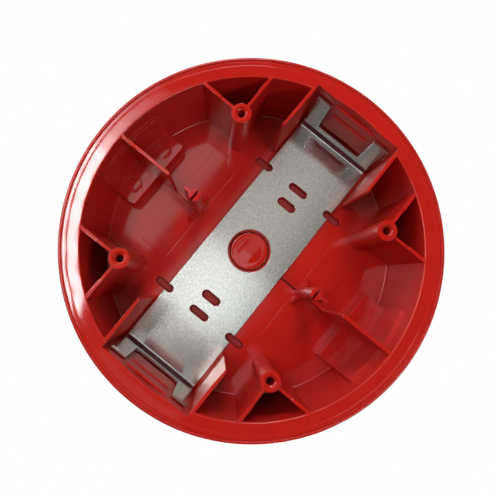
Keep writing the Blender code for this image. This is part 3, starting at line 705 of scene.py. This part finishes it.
def screw_for(node, finish, radius, at, pitch=0.7):
    """A slotted pan-head screw that fills its CAD node's box, with a rounded head and a thread's ridges."""
    low, high, head_r = round_edges(node)
    head = 0.55 * head_r
    seat = low.y + head
    top = seat - head
    rim = seat - 0.3 * head
    profile = [(0, high.y), (radius * 0.6, high.y)]
    y = high.y - radius
    while y > seat + pitch:
        profile += [(radius - 0.22, y), (radius, y - pitch / 2)]
        y -= pitch
    profile += [(radius - 0.1, seat), (head_r - 0.15, seat), (head_r, seat - 0.15), (head_r, rim)]
    crown = arc((0, rim), 1.0, 0, 90, 9)[1:-1]
    profile += [(head_r * r, rim - (y - seat + 0.3 * head) * 0.7 * head) for r, y in crown]
    profile += [(0, top)]
    screw = turned(f"{node}_fine", profile, SMALL, at)
    x, z = at
    half = 0.08 * head_r + 0.15
    across = (x - head_r * 2, x + head_r * 2)
    cut(screw, [block("groove", across, (top - 1, top + head * 0.5), (z - half, z + half))])
    soften(screw, 0.06, 40)
    return fit_out(screw, finish, node)


def build_chassis():
    """The zinc-plated disc with its pressed ring bead and holes."""
    low, high = edges_of("chassis_plate")
    back, front, radius = high.y, low.y, high.x
    profile = [(0, back), (radius - 0.2, back), (radius, back - 0.2), (radius, front + 0.2)]
    profile += [(radius - 0.2, front), (52.4, front), (51.6, front + 0.35), (49.4, front + 0.35)]
    profile += [(48.6, front), (0, front)]
    plate = turned("chassis_disc", profile)
    holes = [disc("post_seat", 4.3, back + 1, front - 1)]
    through = [((sx * BOSS_AT, sz * BOSS_AT), 2.1) for sx, sz in CORNERS]
    through += [((s * MOTOR_EAR_X, MOTOR_AT), 1.6) for s in SIDES]
    through += [((s * BLOCK_EAR_X, BLOCK_AT), 1.6) for s in SIDES]
    through += [(GROMMET_AT, 4.5)]
    spare = [radians(a) for a in (-12, 12)]
    through += [((sx * 50 * cos(a), 50 * sin(a)), 2.0) for sx in SIDES for a in spare]
    holes += [disc("hole", r, back + 1, front - 1, centre=at) for at, r in through]
    cut(plate, holes)
    soften(plate, 0.15)
    fit_out(plate, ZINC, "chassis_plate")


def build_chassis_fixings():
    """The four waisted rubber bushes and their screws."""
    for n, (sx, sz) in enumerate(CORNERS, start=1):
        at = (sx * BOSS_AT, sz * BOSS_AT)
        node = f"chassis_bush_{n}"
        low, high, outer = round_edges(node)
        middle = (low.y + high.y) / 2
        wide = [(2.1, high.y), (outer - 0.5, high.y)] + arc((outer - 0.5, high.y - 0.5), 0.5, 90, 0, 4)
        wide += [(outer - 0.9, middle + 0.4), (outer - 0.9, middle - 0.4)]
        wide += arc((outer - 0.5, low.y + 0.5), 0.5, 0, -90, 4) + [(2.1, low.y)]
        bush = smooth(turned(f"{node}_fine", wide, MEDIUM, at), 50)
        fit_out(bush, RUBBER, node)
        screw_for(f"chassis_screw_{n}", ZINC, 1.6, at)


def build_grommet():
    low, high, outer = round_edges("cable_grommet")
    lip, seat, hole, round_r = 1.0, 4.2, 2.8, 0.5
    back, front = high.y - round_r, low.y + round_r
    profile = arc((hole + round_r, back), round_r, 180, 90, 4)
    profile += arc((outer - round_r, back), round_r, 90, 0, 4)
    profile += [(outer - 0.2, high.y - lip), (seat, high.y - lip)]
    profile += [(seat, low.y + lip), (outer - 0.2, low.y + lip)]
    profile += arc((outer - round_r, front), round_r, 0, -90, 4)
    profile += arc((hole + round_r, front), round_r, -90, -180, 4)
    ring = smooth(turned("grommet_moulding", profile, MEDIUM, GROMMET_AT), 50)
    fit_out(ring, RUBBER, "cable_grommet")


def offset_inwards(points, distance):
    """The same line moved towards the inside of the bowl."""
    moved = []
    for k, (r, y) in enumerate(points):
        before, after = points[max(k - 1, 0)], points[min(k + 1, len(points) - 1)]
        dr, dy = after[0] - before[0], after[1] - before[1]
        size = hypot(dr, dy)
        moved.append((r + dy / size * distance, y - dr / size * distance))
    return moved


def build_gong():
    """A pressed bowl: rounded lip, slightly flared skirt, wide shoulder, shallow cone and flat crown."""
    radius, edge, crown = GONG_HIGH.x, GONG_HIGH.y, GONG_LOW.y
    thick, shoulder, flat_r, hole_r = 2.4, 15.0, 24.0, 4.2
    centre = (radius - 2.2 - shoulder, crown + shoulder + 3.2)
    skirt = [
        (radius - inwards, edge - down)
        for inwards, down in ((0.0, 1.2), (0.03, 3.0), (0.35, 7.0), (0.7, 12.0), (1.3, 18.0))
    ]
    bend = arc(centre, shoulder, 0, -78, 28)
    last_r, last_y = bend[-1]
    foot_r, foot_y = flat_r + 4.5, crown + 0.62
    cone = [(last_r + (foot_r - last_r) * t, last_y + (foot_y - last_y) * t) for t in (0.25, 0.5, 0.75)]
    step = [(foot_r, foot_y), (flat_r + 3.0, crown + 0.5), (flat_r + 1.4, crown + 0.12), (flat_r, crown)]
    outer = skirt + bend + cone + step
    inner = offset_inwards(outer, thick)
    lip = arc((radius - thick / 2, edge - thick / 2), thick / 2, 180, 0, 10)
    back = crown + thick
    bore = [(hole_r + 0.4, crown), (hole_r, crown + 0.3), (hole_r, back - 0.3), (hole_r + 0.4, back)]
    inner_run = [(r, min(y, edge - thick / 2)) for r, y in inner[1:-1]]
    profile = outer + bore + [(flat_r - 0.5, back)] + list(reversed(inner_run)) + lip[:-1]
    bowl = smooth(turned("gong_bowl", profile, 256), 60)
    fit_out(bowl, RED_PAINT, "gong")


def washer(node, finish, edge):
    low, high = edges_of(node)
    outer = high.x
    profile = [(WASHER_HOLE_R, high.y - edge / 2), (WASHER_HOLE_R + edge / 2, high.y)]
    profile += arc((outer - edge, high.y - edge), edge, 90, 0, 5)
    profile += arc((outer - edge, low.y + edge), edge, 0, -90, 5)
    profile += [(WASHER_HOLE_R + edge / 2, low.y), (WASHER_HOLE_R, low.y + edge / 2)]
    made = smooth(turned(f"{node}_fine", profile, MEDIUM * 2), 50)
    return fit_out(made, finish, node)


def build_gong_fixing():
    """The post, then outwards: rubber washer, gong, rubber washer, steel washer and bolt."""
    low, high = edges_of("gong_post")
    base = CHASSIS_FRONT - 0.3
    profile = [(0, high.y), (3.7, high.y), (4.0, high.y - 0.3), (4.0, base), (8.7, base), (9.0, base - 0.3)]
    profile += [(9.0, base - 1.7), (8.7, base - 2.0), (7.0, base - 2.0)]
    profile += arc((7.0, base - 3.0), 1.0, 90, 180, 5)
    for y in (-62.0, -72.0):  # two turned grooves
        profile += [(6.0, y + 0.8), (5.6, y + 0.4), (5.6, y - 0.4), (6.0, y - 0.8)]
    profile += [(6.0, low.y + 0.4), (5.6, low.y), (3.4, low.y), (3.1, low.y + 0.3)]
    profile += [(3.1, low.y + 17), (0, low.y + 17)]
    post = smooth(turned("gong_post_turned", profile, MEDIUM), 30)
    fit_out(post, ZINC, "gong_post")
    washer("gong_washer_inner", RUBBER, 0.4)
    washer("gong_washer_outer", RUBBER, 0.4)
    washer("gong_washer_steel", ZINC, 0.25)
    screw_for("gong_bolt", ZINC, 2.8, (0.0, 0.0), 1.0)


def build_motor_mount():
    """The moulded ring with its ribs, ears and gussets, and its two screws."""
    low, high = edges_of("motor_mount")
    back, front = high.y, low.y
    wall_out, wall_in = 15.9, 13.8
    mount = turned("mount_moulding", [
        (wall_in, back), (wall_out, back), (wall_out, front + 0.4), (wall_out - 0.4, front), (wall_in, front),
    ], MEDIUM * 2, MOTOR_AXIS)
    ears = []
    for side in SIDES:
        x = side * MOTOR_EAR_X
        ears.append(disc("ear", 3.6, back, back - 3, MEDIUM, (x, MOTOR_AT)))
        web = sorted((side * (wall_in + 0.5), x))
        ears.append(block("web", web, (back, back - 3), (MOTOR_AT - 3.4, MOTOR_AT + 3.4)))
        for turn in (35, 145):
            rib_x = wall_out * cos(radians(turn))
            rib_z = MOTOR_AT + side * wall_out * sin(radians(turn))
            ears.append(disc("rib", 1.1, back, front + 1.5, 20, (rib_x, rib_z)))
    for side in SIDES:
        web = [(side * 15.2, back - 2.5), (side * 21.0, back - 2.5), (side * 15.2, back - 6.5)]
        ears.append(prism("gusset", web, MOTOR_AT - 0.7, MOTOR_AT + 0.7, along_z))
    join(mount, ears)
    ends = [(s * MOTOR_EAR_X, MOTOR_AT) for s in SIDES]
    cuts = [disc("ear_hole", 2.6, back - 3.01, front - 1, SMALL, at) for at in ends]
    cuts += [disc("ear_bore", 1.6, back + 1, front - 1, SMALL, at) for at in ends]
    gate = (MOTOR_AT - wall_out - 2, MOTOR_AT - 8)
    cuts.append(block("lead_gate", (-9.0, 9.0), (back + 1, back - 4.2), gate))
    cuts.append(disc("bore", wall_in, back + 1, front - 1, MEDIUM * 2, MOTOR_AXIS))
    cut(mount, cuts)
    soften(mount, 0.25)
    fit_out(mount, BLACK_NYLON, "motor_mount")
    for n, at in enumerate(ends, start=1):
        screw_for(f"motor_screw_{n}", ZINC, 1.2, at, 0.5)


def build_motor_can():
    """The drawn can with its bearing boss and vents."""
    low, high, r = round_edges("motor_can")
    can_front = low.y + 1.2
    profile = [(0, high.y), (r - 0.1, high.y), (r, high.y - 0.1)]
    profile += arc((r - 1.2, can_front + 1.2), 1.2, 0, -90, 7)
    profile += [(8.2, can_front), (7.8, can_front + 0.3), (6.4, can_front + 0.3), (6.0, can_front)]
    profile += [(4.2, can_front), (4.0, can_front - 0.2), (4.0, low.y + 0.2), (3.8, low.y), (1.7, low.y)]
    profile += [(1.5, low.y + 0.2)]
    profile += [(1.5, can_front + 8), (0, can_front + 8)]
    can = turned("motor_drawn_can", profile, MEDIUM * 2, MOTOR_AXIS)
    vents = []
    for side in SIDES:
        outline = slot_outline(side * 10.3, MOTOR_AT, 8.0, 2.2)
        vents.append(prism("vent", outline, can_front + 1.0, can_front - 1))
        wall = sorted((side * (r - 0.7), side * (r + 1)))
        level = (can_front + 5.5, can_front + 7.5)
        vents.append(block("side_vent", wall, level, (MOTOR_AT - 4, MOTOR_AT + 4)))
    cut(can, vents)
    soften(can, 0.1)
    fit_out(can, MOTOR_STEEL, "motor_can")


def build_motor_end():
    """The end cap and the two solder tabs that stand out of it."""
    low, high, r = round_edges("motor_end_cap")
    cap = turned("end_cap_moulding", [
        (0, high.y), (r - 3.5, high.y), (r - 3.2, high.y - 0.3), (r - 2.6, high.y - 0.3), (r - 2.3, high.y),
        (r - 0.4, high.y), (r, high.y - 0.4), (r, low.y), (0, low.y),
    ], MEDIUM * 2, MOTOR_AXIS)
    fit_out(smooth(cap), BLACK_NYLON, "motor_end_cap")
    for n in (1, 2):
        node = f"motor_tab_{n}"
        low, high = edges_of(node)
        middle = (low.x + high.x) / 2
        outline = [(low.x, high.z), (low.x, low.z + 1.2), (middle - 0.5, low.z), (middle + 0.5, low.z)]
        outline += [(high.x, low.z + 1.2), (high.x, high.z)]
        tab = prism(f"{node}_blade", outline, low.y, high.y)
        cut(tab, [disc("eye", 0.5, high.y + 1, low.y - 1, 20, (middle, low.z + 1.6))])
        soften(tab, 0.06)
        fit_out(tab, BRASS, node)


def build_rotor():
    """The shaft, and the arm with its counterweight."""
    low, high = edges_of("motor_shaft")
    shaft = smooth(turned("shaft_ground", [
        (0, high.y), (1.0, high.y), (1.2, high.y - 0.2), (1.2, low.y + 0.2), (1.0, low.y), (0, low.y),
    ], SMALL, MOTOR_AXIS))
    fit_out(shaft, TURNED_STEEL, "motor_shaft", body="rotor")
    low, high = edges_of("striker_rotor")
    outline = arc((0, PIN_Z), 3.6, 190, 350, 16) + arc((0, MOTOR_AT), 8.6, -18, 198, 48)
    rotor = prism("rotor_casting", outline, low.y, high.y)
    hub = disc("hub", 3.2, high.y - 0.5, high.y + 0.4, MEDIUM, MOTOR_AXIS)
    join(rotor, [hub])
    cuts = [disc("bore", 1.3, high.y + 2, low.y - 1, SMALL, MOTOR_AXIS)]
    cuts.append(disc("pin_bore", PIN_BORE_R, high.y + 2, low.y - 1, SMALL, (0, PIN_Z)))
    relief = arc((0, MOTOR_AT), 7.2, 25, 155, 24) + arc((0, MOTOR_AT), 4.6, 155, 25, 20)
    cuts.append(prism("relief", relief, low.y - 1, low.y + 0.5))
    cut(rotor, cuts)
    soften(rotor, 0.2)
    fit_out(rotor, ZINC, "striker_rotor", body="rotor")


def build_hammer_pin():
    """The hammer's pin, and the E-shaped clip that keeps the hammer on it."""
    low, high, r = round_edges("hammer_pin")
    groove = edges_of("hammer_clip")[1].y + 0.2
    pin = smooth(turned("pin_turned", [
        (0, high.y), (r - 0.1, high.y), (r, high.y - 0.1), (r, groove), (r - 0.5, groove),
        (r - 0.5, groove - 1.2), (r, groove - 1.2), (r, low.y + 0.3), (r - 0.3, low.y), (0, low.y),
    ], SMALL, (0, PIN_Z)))
    fit_out(pin, TURNED_STEEL, "hammer_pin", body="rotor")
    low, high, outer = round_edges("hammer_clip")
    centre, hole_r, tongue_r = (0, PIN_Z), 1.9, 1.3
    # Open below, with three tongues that reach into the pin's groove.
    outline = arc(centre, outer, -60, 240, 40) + arc(centre, hole_r, 240, 215, 4)
    for tongue in (180, 90, 0):
        outline += arc(centre, hole_r, tongue + 30, tongue + 14, 3)
        outline += arc(centre, tongue_r, tongue + 14, tongue - 14, 4)
        outline += arc(centre, hole_r, tongue - 14, tongue - 30, 3)
    outline += arc(centre, hole_r, -35, -60, 4)
    clip = prism("clip_pressed", outline, low.y, high.y)
    soften(clip, 0.08)
    fit_out(clip, TURNED_STEEL, "hammer_clip", body="rotor")


def build_hammer():
    """The free-swinging hammer: a thick eye, a waist and a round head with a worn edge."""
    low, high = edges_of("hammer")
    head_r, eye_r, waist = 5.0, 3.9, 2.6
    head_z = low.z + head_r
    left = [(-waist - 0.15, PIN_Z - 3.9), (-waist, PIN_Z - 5.0), (-waist, head_z + 5.0)]
    left += [(-waist - 0.3, head_z + 4.4)]
    outline = arc((0, PIN_Z), eye_r, -40, 220, 36) + left + arc((0, head_z), head_r, 130, 410, 56)
    outline += [(-x, z) for x, z in reversed(left)]
    hammer = prism("hammer_steel", outline, low.y, high.y)
    cuts = [disc("bore", PIN_BORE_R, high.y + 1, low.y - 1, SMALL, (0, PIN_Z))]
    dish = [(0, low.y - 1), (3.0, low.y - 1), (3.0, low.y + 0.01), (2.2, low.y + 0.35), (0, low.y + 0.35)]
    cuts.append(turned("dish", dish, MEDIUM, (0, head_z)))
    cut(hammer, cuts)
    soften(hammer, 0.35, 40, 3)
    fit_out(hammer, TURNED_STEEL, "hammer", body="hammer")


def build_terminals():
    """The four-way block with ribs between its ways, its clamp screws and the two screws that hold it."""
    low, high = edges_of("terminal_block")
    back, front = high.y, low.y
    z_low, z_top = low.z, high.z
    half = 17.0
    body = block("block_moulding", (-half, half), (back, front + 1.2), (z_low, z_top))
    extra = []
    for side in SIDES:
        ear_x = side * BLOCK_EAR_X
        extra.append(disc("ear", 3.4, back, back - 3, MEDIUM, (ear_x, BLOCK_AT)))
        web = sorted((side * (half - 1), ear_x))
        extra.append(block("web", web, (back, back - 3), (BLOCK_AT - 3.2, BLOCK_AT + 3.2)))
    for n in range(5):
        x = (n - 2) * 7.0
        extra.append(block("fence", (x - 0.6, x + 0.6), (back - 4, front), (z_low + 0.5, z_top - 0.5)))
    extra += [disc("collar", 3.1, front + 2, front + 0.4, MEDIUM, (x, BLOCK_AT)) for x in WAY_X]
    for side in SIDES:
        wall = sorted((side * (half - 1.2), side * half))
        extra.append(block("end_wall", wall, (back - 4, front + 0.6), (z_low, z_top)))
    join(body, extra)
    ends = [(s * BLOCK_EAR_X, BLOCK_AT) for s in SIDES]
    cuts = [disc("ear_hole", 1.6, back + 1, back - 4, SMALL, at) for at in ends]
    for x in WAY_X:
        cuts.append(disc("well", 2.6, front + 6.5, front - 1, SMALL, (x, BLOCK_AT)))
        for door in ((z_low - 1, z_low + 4), (z_top - 4, z_top + 1)):
            cuts.append(block("door", (x - 1.8, x + 1.8), (front + 7.5, front + 3.2), door))
    cut(body, cuts)
    soften(body, 0.18)
    fit_out(body, CREAM_NYLON, "terminal_block")
    for n, x in enumerate(WAY_X, start=1):
        screw_for(f"terminal_screw_{n}", BRASS, 1.2, (x, BLOCK_AT), 0.5)
    for n, at in enumerate(ends, start=1):
        screw_for(f"block_screw_{n}", ZINC, 1.2, at, 0.5)


def build_suppressor():
    """The board on its two spacers."""
    low, high = edges_of("suppressor_board")
    corner = 1.2
    outline = []
    for cx, cz, start in (
        (high.x - corner, high.z - corner, 0), (low.x + corner, high.z - corner, 90),
        (low.x + corner, low.z + corner, 180), (high.x - corner, low.z + corner, 270),
    ):
        outline += arc((cx, cz), corner, start, start + 90, 5)
    board = prism("board_laminate", outline, low.y, high.y)
    vias = [(x, z) for x in (low.x + 1.8, high.x - 1.8) for z in (-9.5, 7.5)]
    cut(board, [disc("via", 0.6, high.y + 1, low.y - 1, 20, at) for at in vias])
    soften(board, 0.08)
    fit_out(board, BOARD, "suppressor_board")
    for n in (1, 2):
        node = f"board_spacer_{n}"
        low, high, r = round_edges(node)
        centre = ((low.x + high.x) / 2, (low.z + high.z) / 2)
        spacer = smooth(turned(f"{node}_fine", [
            (0, high.y), (r - 0.2, high.y), (r, high.y - 0.2), (r - 0.3, high.y - 0.7),
            (r - 0.3, low.y + 0.7), (r, low.y + 0.2), (r - 0.2, low.y), (0, low.y),
        ], SMALL, centre))
        fit_out(spacer, BLACK_NYLON, node)


def build_capacitor():
    """The box capacitor on its two feet."""
    low, high = edges_of("suppressor_capacitor")
    box = block("capacitor_box", (low.x, high.x), (low.y, high.y), (low.z, high.z))
    across, along = (low.x + 1.5, high.x - 1.5), (low.z - 1, high.z + 1)
    cut(box, [block("foot_gap", across, (high.y - 0.5, high.y + 1), along)])
    soften(box, 0.45, 40, 3)
    fit_out(box, CAPACITOR, "suppressor_capacitor")


def build_diode():
    """The diode on the board, and its soldered pads."""
    low, high = edges_of("suppressor_board")
    middle = (low.x + high.x) / 2
    diode_z = 6.0
    d_front = low.y - 0.15
    outline = arc((diode_z, d_front - 1.2), 1.2, 0, 350, 35)
    body = prism("diode_body", outline, middle - 2.4, middle + 2.4, lambda a, b, level: (level, b, a))
    fit_out(smooth(soften(body, 0.25, 40)), BLACK_NYLON)
    for side in SIDES:
        x = middle + side * 5.0
        pad = smooth(turned(f"solder_{'left' if side < 0 else 'right'}", [
            (0, low.y + 0.1), (1.0, low.y + 0.1), (0.9, low.y - 0.15),
            (0.55, low.y - 0.45), (0.3, low.y - 0.9), (0, low.y - 1.0),
        ], SMALL, (x, diode_z)), 60)
        fit_out(pad, TURNED_STEEL)


def smooth_route(points, steps):
    """A Catmull-Rom curve through the route's points."""
    ends = [points[0]] + points + [points[-1]]
    route = []
    for a, b, c, d in zip(ends, ends[1:], ends[2:], ends[3:]):
        a, b, c, d = Vector(a), Vector(b), Vector(c), Vector(d)
        for k in range(steps):
            t = k / steps
            route.append(0.5 * (2 * b + (c - a) * t + (2 * a - 5 * b + 4 * c - d) * t**2
                                + (3 * b - a - 3 * c + d) * t**3))
    route.append(Vector(points[-1]))
    return route


def wire(name, points, radius, steps, finish, *nodes):
    curve = bpy.data.curves.new(name, "CURVE")
    curve.dimensions = "3D"
    curve.bevel_depth = radius * MM
    curve.bevel_resolution = 6
    curve.use_fill_caps = True
    route = smooth_route(points, steps)
    spline = curve.splines.new("POLY")
    spline.points.add(len(route) - 1)
    for point, place in zip(spline.points, route):
        point.co = (*(place * MM), 1.0)
    spline.use_smooth = True
    return fit_out(add(name, curve), finish, *nodes)


def build_leads():
    """Each lead runs from a motor tab, down beside the post, into one way of the terminal block."""
    low, high = edges_of("terminal_block")
    door_y, top = low.y + 5.3, high.z
    tab_low, tab_high = edges_of("motor_tab_1")
    tab_y, tab_z = (tab_low.y + tab_high.y) / 2 - 0.05, tab_low.z
    for node, side, finish in (("lead_positive", 1, RED_LEAD), ("lead_negative", -1, BLACK_LEAD)):
        x_door = side * 3.5
        wire(f"{node}_wire", [
            (side * 5.0, tab_y, tab_z - 0.3),
            (side * 5.6, tab_y, tab_z - 4),
            (side * 10.2, tab_y, 13),
            (side * 11.6, tab_y, 4),
            (side * 11.6, tab_y, -6),
            (side * 10.0, tab_y - 0.5, -18),
            (side * 7.4, tab_y - 2.0, -25),
            (x_door, door_y, top + 3.5),
            (x_door, door_y, top - 2.5),
        ], 0.8, 10, finish, node)
        ends = [(x_door, door_y, top + 2.2), (x_door, door_y, top - 1.5)]
        wire(f"{node}_ferrule", ends, 1.05, 2, CREAM_NYLON)


# ---- stage

CAMERA_PLACE = (-20.404, 191.93, -1.539)
CAMERA_RIGHT = (0.62696, 0.06129, 0.77664)
CAMERA_UP = (0.77098, 0.09438, -0.62983)
CAMERA_SHIFT = -0.029
ROOM_LIGHT = 0.03  # how strongly the white room lights the bell

# A slope is how far a mirrored ray leans from the Y axis, as a rise over its run.
PANEL_Y = 1200  # the plane that holds the window and the panels
MIRRORED_FROM = (0.106, 0.008)  # middle of the slopes in which the flange mirrors the room
WINDOW_RING = (0.336, 0.40)  # inner and outer slope of the window's curved band
WINDOW_TOP = -0.182  # no strip of the window reaches above this slope
WINDOW_EDGES = (-0.25, -0.20, -0.15, -0.10, -0.05, 0.0, 0.06, 0.095, 0.13, 0.165, 0.20, 0.235)
WINDOW_RADIANCE = (24.0,) * 6 + (12.0, 7.0, 4.5, 2.6, 1.3)
STRAP_SLOPES = (-0.088, 0.088)
# Name, slopes along X and along Z that a face at the floor's depth mirrors, brightness and colour
PANELS = (
    ("panel_floor", (-0.04, 0.25), (-0.27, -0.15), 1.6, (1.0, 0.95, 0.93)),
    ("panel_strap_bright", (-0.10, 0.058), STRAP_SLOPES, 1.45, (0.95, 1.0, 1.0)),
    ("panel_strap_dim", (-0.20, -0.10), STRAP_SLOPES, 0.34, (1.0, 0.80, 0.72)),
    ("panel_strap", (0.058, 0.36), STRAP_SLOPES, 0.62, (1.0, 0.96, 0.89)),
    ("panel_legs", (-0.35, -0.235), (-0.10, 0.10), 0.45, (1.0, 0.97, 0.92)),
)
REAR_AIM, GONG_AIM = (0, -10, 0), (0, -60, 0)
# Name, place, the point it looks at, size and brightness
SOFT_BOXES = (
    ("fill_top", (-30, 900, 800), REAR_AIM, (600, 300), 7.5),
    ("fill_side", (380, 440, -310), REAR_AIM, (220, 220), 11.0),
    ("fill_low", (-500, 600, -800), REAR_AIM, (400, 400), 2.0),
    ("front_key", (-450, -700, 500), GONG_AIM, (500, 500), 8.0),
    ("front_fill", (700, -600, 100), GONG_AIM, (600, 700), 3.5),
)


def area_light(name, place, aim, size, radiance, colour=(1.0, 1.0, 1.0)):
    """A soft box of the given size in millimetres that looks at a point, set by its brightness."""
    lamp = bpy.data.lights.new(name, "AREA")
    lamp.shape = "RECTANGLE"
    lamp.size, lamp.size_y = size[0] * MM, size[1] * MM
    lamp.energy = radiance * pi * lamp.size * lamp.size_y
    lamp.color = colour
    made = add(name, lamp)
    made.location = Vector(place) * MM
    made.rotation_mode = "QUATERNION"
    made.rotation_quaternion = (Vector(aim) - Vector(place)).to_track_quat("-Z", "Y")
    made.visible_camera = False
    return made


def slope_panel(name, x_slopes, z_slopes, radiance, face_y=0.0, colour=(1.0, 1.0, 1.0)):
    """A soft box square to Y behind the bell, which a face at this depth mirrors over a range of slopes."""
    reach = CAMERA_PLACE[1] + PANEL_Y - 2 * face_y
    x, z = [CAMERA_PLACE[axis] + sum(pair) / 2 * reach for axis, pair in ((0, x_slopes), (2, z_slopes))]
    size = [(pair[1] - pair[0]) * reach for pair in (x_slopes, z_slopes)]
    return area_light(name, (x, PANEL_Y, z), (x, 0, z), size, radiance, colour)


def build_window():
    """A bright curved band below the bell, meant for the flange to mirror, fading towards one end."""
    x_mid, z_mid = MIRRORED_FROM
    strips = zip(WINDOW_EDGES, WINDOW_EDGES[1:], WINDOW_RADIANCE)
    for n, (left, right, radiance) in enumerate(strips):
        across = (left + right) / 2 - x_mid
        inner, outer = [z_mid - sqrt(max(r**2 - across**2, 0.0)) for r in WINDOW_RING]
        slope_panel(f"window_{n}", (left, right), (outer, min(inner, WINDOW_TOP)), radiance)


def build_lights():
    """The window, dim panels for the floor and the strap, fills, and the gong's soft boxes."""
    build_window()
    for name, x_slopes, z_slopes, radiance, colour in PANELS:
        slope_panel(name, x_slopes, z_slopes, radiance, FLOOR_Y, colour)
    for box in SOFT_BOXES:
        area_light(*box)


def build_world():
    """A white room to the camera, which lights the bell only faintly."""
    world = bpy.data.worlds.new("studio")
    bpy.context.scene.world = world
    world.use_nodes = True
    tree = world.node_tree
    tree.nodes.clear()
    kinds = ("OutputWorld", "MixShader", "LightPath", "Background", "Background")
    out, mix, path, seen, lit = [tree.nodes.new(f"ShaderNode{kind}") for kind in kinds]
    seen.inputs["Color"].default_value = (1.0, 1.0, 1.0, 1.0)
    seen.inputs["Strength"].default_value = 1.0
    lit.inputs["Color"].default_value = (1.0, 0.98, 0.96, 1.0)
    lit.inputs["Strength"].default_value = ROOM_LIGHT
    tree.links.new(path.outputs["Is Camera Ray"], mix.inputs["Fac"])
    tree.links.new(lit.outputs["Background"], mix.inputs[1])
    tree.links.new(seen.outputs["Background"], mix.inputs[2])
    tree.links.new(mix.outputs["Shader"], out.inputs["Surface"])


def build_camera():
    """Close behind the open rear, a little off its axis, and turned so that the strap rises to the right."""
    lens = bpy.data.cameras.new("camera")
    lens.sensor_width = 36.0
    lens.lens = 36.0
    lens.shift_y = CAMERA_SHIFT
    made = add("camera", lens)
    right, up = Vector(CAMERA_RIGHT), Vector(CAMERA_UP)
    back = right.cross(up)
    turn = Matrix((right, up, back)).transposed().to_4x4()
    made.matrix_world = Matrix.Translation(Vector(CAMERA_PLACE) * MM) @ turn
    bpy.context.scene.camera = made


def build_stage():
    """A white floor far below the bell."""
    radius, thick, floor_z = 1100, 2, -1000
    floor = turned("studio_floor", [(0, 0), (radius, 0), (radius, -thick), (0, -thick)], 64)
    floor.rotation_euler = (radians(90), 0, 0)
    floor.location = (0, 0, floor_z * MM)
    n = Nodes("studio_white", (0.9, 0.9, 0.9), 0.9)
    n.wire(n.colours(n.noise(300, 2, 0.5), (0.88, 0.88, 0.88), (0.92, 0.92, 0.92)), "Base Color")
    n.set("Emission Color", (1.0, 1.0, 1.0, 1.0))
    n.set("Emission Strength", 0.80)
    floor.data.materials.append(n.material)
    bpy.context.scene.view_settings.view_transform = "Standard"


for build in (
    build_stage, build_world, build_lights, build_camera, build_housing, build_strap, build_chassis,
    build_chassis_fixings, build_grommet, build_gong, build_gong_fixing, build_motor_mount, build_motor_can,
    build_motor_end, build_rotor, build_hammer_pin, build_hammer, build_terminals, build_suppressor,
    build_capacitor, build_diode, build_leads,
):
    build()
